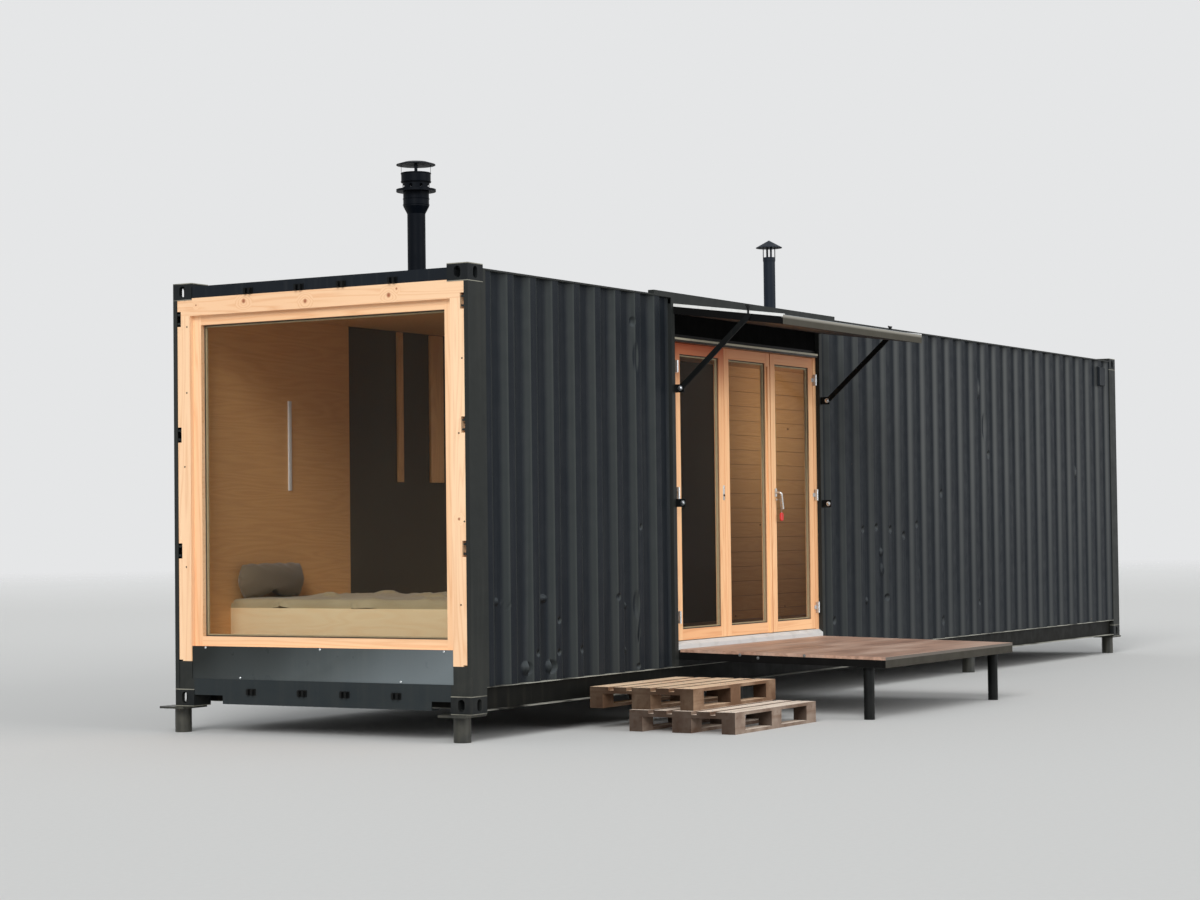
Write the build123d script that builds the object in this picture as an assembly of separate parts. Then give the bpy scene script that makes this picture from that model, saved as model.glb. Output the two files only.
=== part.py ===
"""Shipping container cabin: a forty-foot high-cube container fitted out as a cabin.

Millimetres. X runs along the container from the window end to the blind end, Y from the entrance
side to the back, Z up. The pieces are drawn from the near lower corner of the container and moved
at the end, so that the origin lies on the ground under the middle of the whole cabin.
"""

import math
import os

from build123d import *

# Container shell, outside sizes
length = 12192.0
width = 2438.0
height = 2896.0
ground_gap = 180.0  # ground to the underside of the corner castings

# Corner castings
casting_x, casting_y, casting_z = 178.0, 162.0, 118.0
casting_wall = 28.0
casting_slot = (124.0, 63.5)  # top and bottom apertures
casting_slot_at = (103.5, 89.5)
casting_eye = (79.5, 51.0)  # upright apertures in the side and the end
casting_eye_inset = (89.0, 81.0)  # from the corner along the side and along the end

# Corrugated sheets: outer flat, slope, inner flat, slope
sheet = 2.0
wall_inset = 8.0  # from the casting face to the outer flats
side_flats, side_depth = (72.0, 68.0, 70.4), 36.0
left_wall_crest, right_wall_crest = 480.0, 5315.0
end_flats, end_depth = (110.0, 18.0, 104.0), 36.0
roof_flats, roof_depth = (91.0, 13.5, 91.0), 20.0

# Frame of the container
post_plate = 6.0
window_post_x = 206.0
window_post_lip = 32.0
hinge_lug_low, hinge_lug_drop, hinge_lugs = 265.0, 246.0, 4
lug_x, lug_y, lug_z, lug_spacing = 40.0, 56.0, 14.0, 62.0
rail_top_gap, roof_drop = 26.0, 6.0  # casting top to rail top, and rail top to the roof's crests
rail_flange, rail_flange_face = 12.0, 2.0
rail_box, rail_box_wall = 60.0, 4.0
bottom_rail_low, bottom_rail_top = 17.0, 170.0
bottom_rail_y, bottom_rail_wall = 46.0, 5.0
end_face_inset = 5.0
end_bar_plate = 6.0
header_depth, header_x = 106.0, 70.0
blind_header_depth = 76.0
sill_low, sill_top, sill_x, sill_lip = 22.0, 160.0, 100.0, 30.0
sill_notches = ((162.0, 315.0), (2030.0, 2276.0))
sill_notch_top = 80.0
keeper_places = (590.0, 1005.0, 1355.0, 1784.0)
keeper_drop, keeper_rise = 83.0, 108.0
keeper_y, keeper_z, keeper_out, keeper_plate = 76.0, 44.0, 26.0, 4.0
plywood_floor = 28.0
cross_member_pitch, cross_member_z, cross_member_x, cross_member_plate = 300.0, 122.0, 45.0, 4.0
vent_size, vent_depth = (160.0, 205.0), 26.0
vent_from_end, vent_drop = 440.0, 200.0
vent_hood, vent_chamfer = 16.0, 8.0

# Inside fit-out
floor_top = 300.0
lining = 50.0
ceiling_drop, ceiling_board = 118.0, 60.0

# Bed across the window end
bed_start, bed_end = 480.0, 1880.0
bed_top, bed_board = 655.0, 18.0
mattress_top = 750.0
mattress_edge = 20.0
soft_gap = 0.3
pillow_span = (570.0, 1200.0)
pillow_height, pillow_depth, pillow_edge = 250.0, 150.0, 50.0

# Entrance opening in the near side
opening_start, opening_end = 2665.0, 5165.0
jamb_x, jamb_face = 50.0, 2.0
opening_header_wall = 5.0
edge_beam_height, edge_beam_y, edge_beam_overlap = 28.0, 50.0, 250.0
lintel_face = 40.0
door_face = 37.0
door_frame_member = 50.0
door_stop, door_stop_y = 14.0, 9.0
door_sill_low, door_sill_top, door_sill_nose = 290.0, 349.0, 34.0
lintel_height, door_head_height = 210.0, 57.0

# Glazed leaves
leaf_starts = (2765.3, 3530.3, 4303.5)
leaf_ends = (3530.0, 4293.5, 5059.5)
leaf_clearance = 5.5
leaf_y = 44.0
leaf_edge_rebate = (2.5, 8.0)
stile, leaf_rail = 80.0, 80.0
pane_y, pane_recess = 24.0, 10.0
meeting_strip, meeting_strip_drop = (4235.0, 4270.0, 12.0), 113.0
hinge_rises, hinge_drop = (170.5, 1077.5), 175.5
knuckle_radius, knuckle_height = 8.0, 90.0
knuckle_gap = 0.3
pin_x, pin_y, pin_radius, pin_clearance = 5064.0, 12.0, 4.0, 0.05
folding_pin_x = 2766.0
hinge_plate, hinge_plate_x = 3.0, 30.0
handle_at = (4367.0, 1447.0)
handle_plate = (28.0, 64.0, 8.0)
handle_bar, handle_reach, handle_lever = 9.0, 52.0, (30.0, -130.0)
drip_drop, drip_height, drip_face, drip_plate = 25.0, 30.0, 12.0, 2.0

# Canopy
canopy_start, canopy_end = 2700.0, 5140.0
canopy_reach, canopy_fall = 890.0, 120.0
canopy_thickness, canopy_member, canopy_skin, soffit = 68.0, 40.0, 3.0, 12.0
strut_width, strut_x = 40.0, 14.0
strut_foot_y, strut_foot_drop = -55.0, 615.0
strut_head_y = -615.0
strut_bolt_radius, strut_bolt_rise = 7.0, 46.0
bracket_x, bracket_z, bracket_out = 8.0, 60.0, 78.0
latch_height = 1360.0

# Deck
deck_start, deck_end = 2740.0, 5100.0
deck_reach, deck_fall, deck_back_top = 1630.0, 34.0, 294.0
deck_board, deck_frame_z, deck_member, deck_joists = 21.0, 54.0, 50.0, 3
deck_leg_radius, deck_leg_plate, deck_leg_plate_z = 38.0, 130.0, 6.0
deck_leg_places = ((2807.0, -1470.0), (5008.0, -1500.0))

# Pallet steps: boards along X on cross boards and nine blocks
pallet_x, pallet_y = 1200.0, 800.0
pallet_board, pallet_block_z = 22.0, 78.0
wide_board, narrow_board = 145.0, 100.0
lower_pallet_at = (1270.0, -1218.0)
upper_pallet_at = (1322.0, -880.0)

# Window in the end
frame_face, frame_x = 4.0, 108.0
frame_edge, frame_member, frame_head = 34.0, 109.0, 121.0
stile_foot = 308.0
lug_notch_y, lug_notch_z, lug_notch_x = 30.0, 104.0, 52.0
sash_setback, sash_member, sash_low = 38.0, 67.0, 412.0
sash_rail = 64.0
glass_setback, glass_x = 37.0, 24.0
apron_sheet, apron_setback = 2.0, 6.0

# Piles
pile_radius = 57.0
pile_near_y, pile_far_inset = 115.0, 18.0
pile_end_inset = 60.0
pile_middle_inset = 3802.0
pile_plate_x, pile_plate_y, pile_plate_z = 250.0, 210.0, 15.0

# Roof pipes
flue_x, flue_from_back, flue_radius, flue_rise = 2157.0, 538.0, 68.0, 662.0
cowl_radius, cowl_socket, cowl_band = 97.0, 56.0, 111.0
cowl_disc_radius, cowl_disc = 149.0, 18.0
cowl_neck_radius, cowl_neck = 101.0, 51.0
cowl_drum_radius, cowl_drum = 111.0, 74.0
cowl_cap_radius, cowl_cap_gap, cowl_cap_edge, cowl_cap_dome = 147.0, 57.0, 6.0, 25.0
cowl_cap_shoulder = (88.0, 18.0)  # radius, and rise above the edge
cowl_sheet, cowl_holes, cowl_hole_radius, cowl_hole_turn = 3.0, 8, 13.0, 12.0
cowl_straps, cowl_strap_turn, strap_x, strap_y = 4, 35.0, 3.0, 24.0
vent_pipe_x, vent_pipe_off_middle, vent_pipe_radius, vent_pipe_rise = 6600.0, 19.0, 52.0, 670.0
vent_cap_radius, vent_cap_gap, vent_cap_edge, vent_cap_height = 116.0, 83.0, 5.0, 69.0
vent_collar = (3.0, 34.0, 8.0)  # plate, and its low and high edge below the top of the pipe
vent_cap_straps, vent_strap_y = 4, 18.0
pipe_wall = 4.0
flashing_radius, flashing_rise, flashing_collar = 165.0, 30.0, 12.0

# Derived places
lip_top = sill_top + sill_lip
pile_rows = (pile_near_y, width - pile_far_inset)
header_low = height - header_depth
blind_header_low = height - blind_header_depth
keeper_heights = (height - keeper_drop, keeper_rise)
hinge_lug_step = (height - hinge_lug_drop - hinge_lug_low) / (hinge_lugs - 1)
hinge_lug_heights = [hinge_lug_low + number * hinge_lug_step for number in range(hinge_lugs)]
ceiling_top = height - ceiling_drop
ceiling_low = ceiling_top - ceiling_board
rail_top = height - rail_top_gap
opening_header_low = rail_top - rail_box
door_head_top = opening_header_low - lintel_height
door_head_low = door_head_top - door_head_height
drip_top = door_head_top - drip_drop
drip_low = drip_top - drip_height
canopy_back_top = opening_header_low
wall_top = rail_top - rail_flange
wall_inner = wall_inset + side_depth + sheet
rail_inner = wall_inner + 2.0
lining_face = wall_inner + lining
post_return = wall_inner - 1.0
floor_low = bottom_rail_top
end_wall_inner = length - wall_inset - end_depth - sheet
blind_lining_face = end_wall_inner - lining
jamb_inner_start = opening_start + jamb_x
jamb_inner_end = opening_end - jamb_x
leaf_low = door_sill_top + leaf_clearance
leaf_top = door_head_low - leaf_clearance
hinge_heights = [leaf_low + rise for rise in hinge_rises] + [leaf_top - hinge_drop]
canopy_slope = canopy_fall / canopy_reach
deck_slope = deck_fall / deck_reach
window_back = frame_face + frame_x
window_sides = (frame_edge + frame_member, width - frame_edge - frame_member)
glass_sides = (window_sides[0] + sash_member, window_sides[1] - sash_member)
sash_top = header_low - frame_head
roof_top = rail_top - roof_drop
flue_top = height + flue_rise
vent_pipe_top = height + vent_pipe_rise
flue_at = (flue_x, width - flue_from_back)
vent_pipe_at = (vent_pipe_x, width / 2 - vent_pipe_off_middle)


def block(x0, x1, y0, y1, z0, z1):
    """A box between two corners."""
    return Pos((x0 + x1) / 2, (y0 + y1) / 2, (z0 + z1) / 2) * Box(x1 - x0, y1 - y0, z1 - z0)


def prism_x(points, x0, x1):
    """A (Y, Z) outline drawn out along X."""
    plane = Plane(origin=(x0, 0, 0), x_dir=(0, 1, 0), z_dir=(1, 0, 0))
    return extrude(plane * make_face(Polyline(*points, close=True)), amount=x1 - x0)


def prism_y(points, y0, y1):
    """An (X, Z) outline drawn out along Y."""
    plane = Plane(origin=(0, y0, 0), x_dir=(1, 0, 0), z_dir=(0, -1, 0))
    return extrude(plane * make_face(Polyline(*points, close=True)), amount=-(y1 - y0))


def prism_z(points, z0, z1):
    """An (X, Y) outline drawn out along Z."""
    return Pos(0, 0, z0) * extrude(make_face(Polyline(*points, close=True)), amount=z1 - z0)


def mirror_x(shape):
    """The same piece at the other end of the container."""
    return Pos(length, 0, 0) * mirror(shape, about=Plane.YZ)


def mirror_y(shape):
    """The same piece on the back side of the container."""
    return Pos(0, width, 0) * mirror(shape, about=Plane.XZ)


def rod(x, y, radius, z0, z1):
    return Pos(x, y, (z0 + z1) / 2) * Cylinder(radius, z1 - z0)


def tube(outer, inner, z0, z1):
    """A round wall about the Z axis."""
    return rod(0, 0, outer, z0, z1) - rod(0, 0, inner, z0 - 1, z1 + 1)


def turned(points):
    """A (radius, Z) outline turned about the Z axis."""
    return revolve(Plane.XZ * make_face(Polyline(*points, close=True)), axis=Axis.Z)


def around(count, first, shape):
    """Copies of a shape turned about the Z axis, first one at an angle."""
    return [Rot(0, 0, first + number * 360 / count) * shape for number in range(count)]


def folds(start, stop, crest, flats, depth):
    """Points (place, depth) of a folded sheet; crest is a place where an outer flat starts."""
    flat, slope, inner_flat = flats
    pitch = flat + 2 * slope + inner_flat
    corners = (0.0, flat, flat + slope, flat + slope + inner_flat, pitch)
    levels = (0.0, 0.0, depth, depth, 0.0)

    def level_at(place):
        along = (place - crest) % pitch
        turn = max(index for index in range(4) if corners[index] <= along)
        share = (along - corners[turn]) / (corners[turn + 1] - corners[turn])
        return levels[turn] + share * (levels[turn + 1] - levels[turn])

    first = crest + pitch * math.floor((start - crest) / pitch)
    turns = int((stop - first) / pitch) + 1
    places = [(first + turn * pitch + corners[index], levels[index])
              for turn in range(turns) for index in range(4)]
    inside = [point for point in places if start + 1 < point[0] < stop - 1]
    return [(start, level_at(start))] + inside + [(stop, level_at(stop))]


def flat_near(place, crest, flats):
    """Middle of the outer flat nearest to a place along a folded sheet."""
    flat, slope, inner_flat = flats
    pitch = flat + 2 * slope + inner_flat
    first = crest + flat / 2
    return first + pitch * round((place - first) / pitch)


def folded_sheet(start, stop, crest, flats, depth):
    """Outline of a folded sheet, one sheet thick towards the inside."""
    path = folds(start, stop, crest, flats, depth)
    return path + [(place, level + sheet) for place, level in reversed(path)]


def side_wall(start, stop, crest):
    """A stretch of the near side wall, from the bottom rail to the roof rail."""
    outline = folded_sheet(start, stop, crest, side_flats, side_depth)
    return prism_z([(x, wall_inset + depth) for x, depth in outline], bottom_rail_top, wall_top)


def lower_castings():
    """Hollow castings: a slot in the underside and upright eyes in the two outer faces."""
    slot_x, slot_y = casting_slot
    eye_z, eye_across = casting_eye
    wall = casting_wall
    body = block(0, casting_x, 0, casting_y, 0, casting_z)
    body -= block(wall, casting_x - wall, wall, casting_y - wall, wall, casting_z - wall)
    slot = Pos(*casting_slot_at, -1) * SlotOverall(slot_x, slot_y)
    body -= extrude(slot, amount=wall + 2)
    eye = SlotOverall(eye_z, eye_across, rotation=90)
    side = Plane(origin=(casting_eye_inset[0], -1, casting_z / 2), x_dir=(1, 0, 0), z_dir=(0, 1, 0))
    end = Plane(origin=(-1, casting_eye_inset[1], casting_z / 2), x_dir=(0, 1, 0), z_dir=(1, 0, 0))
    body -= extrude(side * eye, amount=wall + 2)
    body -= extrude(end * eye, amount=wall + 2)
    return [body, mirror_x(body), mirror_y(body), mirror_y(mirror_x(body))]


def upper_castings():
    """The same castings upside down, with their slots in the top."""
    return [Pos(0, 0, height) * mirror(one, about=Plane.XY) for one in lower_castings()]


def window_post():
    """Post of bent plate at the window end, with the old doors' hinge lugs and a foot plate."""
    plate, top = post_plate, height - casting_z
    outline = [(0, 0), (window_post_x, 0), (window_post_x, post_return),
               (window_post_x - plate, post_return), (window_post_x - plate, plate), (plate, plate),
               (plate, window_post_lip), (0, window_post_lip)]
    post = prism_z(outline, casting_z, top)
    post -= block(casting_x, window_post_x + 1, -1, wall_inner, casting_z - 1, bottom_rail_top)
    ear = [(casting_x, 0), (window_post_x, 0), (window_post_x, post_return),
           (window_post_x - plate, post_return), (window_post_x - plate, plate), (casting_x, plate)]
    post += prism_z(ear, top, wall_top)
    for z in hinge_lug_heights:
        for way in (-1, 1):
            middle = z + way * lug_spacing / 2
            post += block(plate, lug_x, plate, lug_y, middle - lug_z / 2, middle + lug_z / 2)
    face = end_face_inset
    post += block(face, face + plate, plate, window_sides[0], casting_z, stile_foot)
    return post + block(face, face + plate, plate, casting_y, casting_z, lip_top)


def blind_post():
    """Post of bent plate at the blind end."""
    plate, x, y = post_plate, casting_x, casting_y
    outline = [(0, 0), (x, 0), (x, post_return), (x - plate, post_return), (x - plate, plate),
               (plate, plate), (plate, y), (0, y)]
    return mirror_x(prism_z(outline, casting_z, height - casting_z))


def corner_posts():
    near = [window_post(), blind_post()]
    return near + [mirror_y(post) for post in near]


def end_header(low):
    """A box beam across the window end, under the roof's edge."""
    plate, sides = end_bar_plate, (casting_y, width - casting_y)
    beam = block(end_face_inset, header_x, *sides, low, rail_top)
    return beam - block(end_face_inset + plate, header_x - plate, sides[0] - 1, sides[1] + 1,
                        low + plate, rail_top - plate)


def end_sill():
    """A channel across an end that opens inwards; its face plate rises past the top flange."""
    face, plate = end_face_inset, end_bar_plate
    outline = [(face, sill_low), (sill_x, sill_low), (sill_x, sill_low + plate),
               (face + plate, sill_low + plate), (face + plate, sill_top - plate),
               (sill_x, sill_top - plate), (sill_x, sill_top), (face + plate, sill_top),
               (face + plate, lip_top), (face, lip_top)]
    return prism_y(outline, casting_y, width - casting_y)


def end_headers():
    return [end_header(header_low), mirror_x(end_header(blind_header_low))]


def end_sills():
    """The old door sill with notches beside the castings, and a plain one at the blind end."""
    notched = end_sill()
    for y0, y1 in sill_notches:
        notched -= block(0, sill_x + 1, y0, y1, 0, sill_notch_top)
    return [notched, mirror_x(end_sill())]


def bar_keepers():
    """Keepers of the old doors' locking bars: a pad with two hooked lugs."""
    keepers = []
    face = end_face_inset
    for y in keeper_places:
        for z in keeper_heights:
            pad = block(face - keeper_plate, face, y - keeper_y / 2, y + keeper_y / 2,
                        z - keeper_z / 2, z + keeper_z / 2)
            for side in (-1, 1):
                lug_middle = y + side * keeper_y / 4
                pad += block(face - keeper_out, face - keeper_plate, lug_middle - 8, lug_middle + 8,
                             z - keeper_z / 2 + 4, z + keeper_z / 2 - 4)
            keepers.append(pad)
    return keepers


def top_side_rails():
    """Roof rails: a box behind the wall sheet and a flange over its top edge."""
    back = rail_inner + rail_box
    wall = rail_box_wall
    box_low = rail_top - rail_box
    outline = [(rail_flange_face, rail_top), (rail_flange_face, wall_top), (rail_inner, wall_top),
               (rail_inner, box_low), (back, box_low), (back, rail_top)]
    hollow = [(rail_inner + wall, box_low + wall), (back - wall, box_low + wall),
              (back - wall, wall_top), (rail_inner + wall, wall_top)]
    ends = (casting_x, length - casting_x)
    rail = prism_x(outline, *ends) - prism_x(hollow, ends[0] - 1, ends[1] + 1)
    return [rail, mirror_y(rail)]


def bottom_side_rails():
    """Channels that open outwards."""
    low, top, thick = bottom_rail_low, bottom_rail_top, bottom_rail_wall
    outline = [(0, low), (bottom_rail_y, low), (bottom_rail_y, top), (0, top), (0, top - thick),
               (bottom_rail_y - thick, top - thick), (bottom_rail_y - thick, low + thick),
               (0, low + thick)]
    rail = prism_x(outline, casting_x, length - casting_x)
    return [rail, mirror_y(rail)]


def blind_end_wall():
    outline = folded_sheet(casting_y, width - casting_y, casting_y + 35, end_flats, end_depth)
    points = [(length - wall_inset - depth, y) for y, depth in outline]
    return prism_z(points, lip_top, blind_header_low)


def roof_panel():
    """Corrugated roof between the rails, cut out round the castings."""
    outline = folded_sheet(header_x, length - header_x, header_x + 60, roof_flats, roof_depth)
    edge = rail_inner + rail_box
    roof = prism_y([(x, roof_top - depth) for x, depth in outline], edge, width - edge)
    for x0, x1 in ((0, casting_x), (length - casting_x, length)):
        for y0, y1 in ((0, casting_y), (width - casting_y, width)):
            roof -= block(x0, x1, y0, y1, roof_top - 100, roof_top + 1)
    return roof


def cross_members():
    """Floor bearers: channels across the container between the bottom rails."""
    top = floor_low - plywood_floor
    low = top - cross_member_z
    plate, flange = cross_member_plate, cross_member_x
    first = sill_x + cross_member_pitch / 2
    count = int((length - sill_x - flange - first) / cross_member_pitch) + 1
    outline = [(0, low), (flange, low), (flange, low + plate), (plate, low + plate),
               (plate, top - plate), (flange, top - plate), (flange, top), (0, top)]
    bearer = prism_y(outline, bottom_rail_y, width - bottom_rail_y)
    return [Pos(first + number * cross_member_pitch, 0, 0) * bearer for number in range(count)]


def floor_boards():
    """The container's own plywood floor on the bearers."""
    return block(window_back, length - sill_x, bottom_rail_y, width - bottom_rail_y,
                 floor_low - plywood_floor, floor_low)


def insulated_floor():
    floor = block(window_back, end_wall_inner, wall_inner, width - wall_inner, floor_low, floor_top)
    return floor - block(opening_start, opening_end, 0, lining_face, floor_low - 1, floor_top + 1)


def front_wall_linings():
    spans = ((window_back, opening_start), (opening_end, blind_lining_face))
    return [block(*span, wall_inner, lining_face, floor_top, ceiling_top) for span in spans]


def back_wall_lining():
    return block(window_back, blind_lining_face, width - lining_face, width - wall_inner,
                 floor_top, ceiling_top)


def blind_end_lining():
    return block(blind_lining_face, end_wall_inner, wall_inner, width - wall_inner,
                 floor_top, ceiling_top)


def ceiling():
    return block(window_back, blind_lining_face, lining_face, width - lining_face,
                 ceiling_low, ceiling_top)


def bed_platform():
    across = (lining_face, width - lining_face)
    platform = block(bed_start, bed_end, *across, bed_top - bed_board, bed_top)
    for x0 in (bed_start, bed_end - bed_board):
        platform += block(x0, x0 + bed_board, *across, floor_top, bed_top - bed_board)
    return platform


def mattress():
    pad = block(bed_start + bed_board, bed_end - bed_board, lining_face + soft_gap,
                width - lining_face - soft_gap, bed_top + soft_gap, mattress_top)
    return chamfer(pad.edges(), mattress_edge)


def pillow():
    """A pillow stood on the mattress against the back lining."""
    low, back = mattress_top + soft_gap, width - lining_face - soft_gap
    cushion = block(*pillow_span, back - pillow_depth, back, low, low + pillow_height)
    return chamfer(cushion.edges(), pillow_edge)


def opening_posts():
    spans = ((opening_start, jamb_inner_start), (jamb_inner_end, opening_end))
    return [block(*span, jamb_face, lining_face, bottom_rail_top, opening_header_low)
            for span in spans]


def opening_header():
    """Box beam under the roof rail's flange, and the bar that stiffens the edge above it."""
    wall = opening_header_wall
    beam = block(opening_start, opening_end, jamb_face, rail_inner, opening_header_low, wall_top)
    beam -= block(opening_start - 1, opening_end + 1, jamb_face + wall, rail_inner - wall,
                  opening_header_low + wall, wall_top - wall)
    bar = block(opening_start - edge_beam_overlap, opening_end + edge_beam_overlap, jamb_face,
                jamb_face + edge_beam_y, rail_top, rail_top + edge_beam_height)
    return [beam, bar]


def opening_sill_beam():
    return block(jamb_inner_start, jamb_inner_end, jamb_face, lining_face, bottom_rail_top,
                 door_sill_low)


def lintel_panel():
    return block(jamb_inner_start, jamb_inner_end, lintel_face, lining_face, door_head_top,
                 opening_header_low)


def door_frame():
    """Timber frame round the three leaves, with a stop behind them."""
    x0, x1, member = jamb_inner_start, jamb_inner_end, door_frame_member
    frame = block(x0, x1, door_face, lining_face, door_sill_top, door_head_top)
    frame -= block(x0 + member, x1 - member, 0, lining_face - door_stop_y, door_sill_top - 1,
                   door_head_low)
    frame -= block(x0 + member + door_stop, x1 - member - door_stop, 0, lining_face + 1,
                   door_sill_top - 1, door_head_low - door_stop)
    return frame


def door_sill():
    """Metal threshold with a sloped nose."""
    outline = [(jamb_face, door_sill_low), (lining_face, door_sill_low),
               (lining_face, door_sill_top), (door_face, door_sill_top),
               (jamb_face, door_sill_low + door_sill_nose)]
    return prism_x(outline, jamb_inner_start, jamb_inner_end)


def drip_strip():
    """Folded metal strip over the doors."""
    face, back, plate = drip_face, door_face, drip_plate
    outline = [(face, drip_low), (face + plate, drip_low), (face + plate, drip_top - plate),
               (back - plate, drip_top - plate), (back - plate, drip_low), (back, drip_low),
               (back, drip_top), (face, drip_top)]
    return prism_x(outline, jamb_inner_start, jamb_inner_end)


def glazed_leaf(number):
    """Stiles and rails of one leaf; its upright front edges are rebated."""
    x0, x1 = leaf_starts[number], leaf_ends[number]
    y0, y1 = door_face, door_face + leaf_y
    rebate_x, rebate_y = leaf_edge_rebate
    leaf = block(x0, x1, y0, y1, leaf_low, leaf_top)
    leaf -= block(x0 + stile, x1 - stile, y0 - 1, y1 + 1, leaf_low + leaf_rail, leaf_top - leaf_rail)
    for near, far in ((x0 - 1, x0 + rebate_x), (x1 - rebate_x, x1 + 1)):
        leaf -= block(near, far, y0 - 1, y0 + rebate_y, leaf_low - 1, leaf_top + 1)
    return leaf


def leaf_pane(number):
    y0 = door_face + pane_recess
    return block(leaf_starts[number] + stile, leaf_ends[number] - stile, y0, y0 + pane_y,
                 leaf_low + leaf_rail, leaf_top - leaf_rail)


def folding_leaves():
    """The two folding leaves; a strip runs up the second one beside the entrance leaf."""
    strip_start, strip_end, strip_y = meeting_strip
    strip = block(strip_start, strip_end, door_face - strip_y, door_face, leaf_low,
                  door_head_low - meeting_strip_drop)
    return [glazed_leaf(0), glazed_leaf(1) + strip]


def knuckle_span(z, share):
    """Low and high end of one third of a hinge knuckle."""
    third = knuckle_height / 3
    low = z - knuckle_height / 2 + share * third
    return low + knuckle_gap, low + third - knuckle_gap


def hinge_third(x, way, span):
    """Knuckle, arm and plate of one third of a hinge; way is the side that the plate lies on."""
    sides = sorted((x, x + way * knuckle_radius))
    plate_sides = sorted((x, x + way * hinge_plate_x))
    piece = rod(x, pin_y, knuckle_radius, *span)
    piece += block(*sides, pin_y, door_face, *span)
    return piece + block(*plate_sides, door_face - hinge_plate, door_face, *span)


def frame_hinges():
    """Pin, outer knuckles and plates of each hinge on the frame."""
    hinges = []
    for z in hinge_heights:
        half = knuckle_height / 2 - knuckle_gap
        hinge = rod(pin_x, pin_y, pin_radius, z - half, z + half)
        for share in (0, 2):
            hinge += hinge_third(pin_x, 1, knuckle_span(z, share))
        hinges.append(hinge)
    return hinges


def leaf_hinges():
    """Bored middle knuckle and plate of each hinge on the entrance leaf."""
    hinges = []
    for z in hinge_heights:
        span = knuckle_span(z, 1)
        bore = rod(pin_x, pin_y, pin_radius + pin_clearance, span[0] - 1, span[1] + 1)
        hinges.append(hinge_third(pin_x, -1, span) - bore)
    return hinges


def folding_hinges():
    """Closed hinges between the frame and the first folding leaf."""
    hinges = []
    for z in hinge_heights:
        span = (z - knuckle_height / 2, z + knuckle_height / 2)
        hinges.append(hinge_third(folding_pin_x, 1, span) + hinge_third(folding_pin_x, -1, span))
    return hinges


def entrance_handle():
    """Back plate, neck and a lever that droops towards the hinges."""
    x, z = handle_at
    plate_x, plate_z, plate_y = handle_plate
    along, drop = handle_lever
    front = door_face - plate_y
    plate = block(x - plate_x / 2, x + plate_x / 2, front, door_face, z - plate_z / 2, z + plate_z / 2)
    reach = door_face - handle_reach
    path = FilletPolyline((x, front + 1, z), (x, reach, z), (x + along, reach, z + drop), radius=16)
    bar = Plane(origin=path @ 0, z_dir=path % 0) * Circle(handle_bar)
    return plate + sweep(bar, path=path)


def sloped_band(top_at, y0, y1, from_top, to_top):
    """Outline between two depths under a sloped top surface."""
    return [(y0, top_at(y0) - to_top), (y1, top_at(y1) - to_top), (y1, top_at(y1) - from_top),
            (y0, top_at(y0) - from_top)]


def canopy_top(y):
    return canopy_back_top + y * canopy_slope


def deck_top(y):
    return deck_back_top + y * deck_slope


def canopy_frame():
    """A frame of square tube with a rib in the middle."""
    member, low = canopy_member, canopy_thickness
    front, back = -canopy_reach, jamb_face
    full = sloped_band(canopy_top, front, back, canopy_skin, low)
    frame = prism_x(full, canopy_start, canopy_start + member)
    frame += prism_x(full, canopy_end - member, canopy_end)
    for y0, y1 in ((front, front + member), (back - member, back)):
        band = sloped_band(canopy_top, y0, y1, canopy_skin, low)
        frame += prism_x(band, canopy_start, canopy_end)
    middle = (canopy_start + canopy_end) / 2
    rib = sloped_band(canopy_top, front, back, canopy_skin, low - soffit)
    return frame + prism_x(rib, middle - member / 2, middle + member / 2)


def canopy_top_sheet():
    band = sloped_band(canopy_top, -canopy_reach, jamb_face, 0, canopy_skin)
    return prism_x(band, canopy_start, canopy_end)


def canopy_soffit():
    member, low = canopy_member, canopy_thickness
    band = sloped_band(canopy_top, member - canopy_reach, jamb_face - member, low - soffit, low)
    return prism_x(band, canopy_start + member, canopy_end - member)


def canopy_struts():
    """Flat bars from the brackets up to the canopy's sides, each with a bolt standing at its head."""
    foot_y, foot_z = strut_foot_y, canopy_back_top - strut_foot_drop
    head_z = canopy_top(strut_head_y) - canopy_thickness / 2
    run = math.hypot(strut_head_y - foot_y, head_z - foot_z)
    slope = ((strut_head_y - foot_y) / run, (head_z - foot_z) / run)
    bolt_top = canopy_top(strut_head_y) + strut_bolt_rise
    struts = []
    for x0 in (canopy_start - strut_x, canopy_end):
        plane = Plane(origin=(x0, foot_y, foot_z), x_dir=(0, *slope), z_dir=(1, 0, 0))
        bar = extrude(plane * Pos(run / 2, 0) * SlotCenterToCenter(run, strut_width), amount=strut_x)
        bolt = rod(x0 + strut_x / 2, strut_head_y, strut_bolt_radius, head_z, bolt_top)
        struts.append(bar + bolt)
    return struts


def strut_brackets():
    """Ears on the steel posts: the upper pair carries the struts, the lower pair held the flaps."""
    ears = []
    for x0 in (canopy_start, canopy_end - bracket_x):
        for z in (canopy_back_top - strut_foot_drop, latch_height):
            ears.append(block(x0, x0 + bracket_x, jamb_face - bracket_out, jamb_face,
                              z - bracket_z / 2, z + bracket_z / 2))
    return ears


def deck_frame():
    """Steel frame with joists that run out from the container."""
    member, low = deck_member, deck_board + deck_frame_z
    front, back = -deck_reach, jamb_face
    full = sloped_band(deck_top, front, back, deck_board, low)
    frame = None
    for y0, y1 in ((front, front + member), (back - member, back)):
        bar = prism_x(sloped_band(deck_top, y0, y1, deck_board, low), deck_start, deck_end)
        frame = bar if frame is None else frame + bar
    spacing = (deck_end - deck_start - member) / (deck_joists + 1)
    for number in range(deck_joists + 2):
        x0 = deck_start + number * spacing
        frame += prism_x(full, x0, x0 + member)
    return frame


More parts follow.
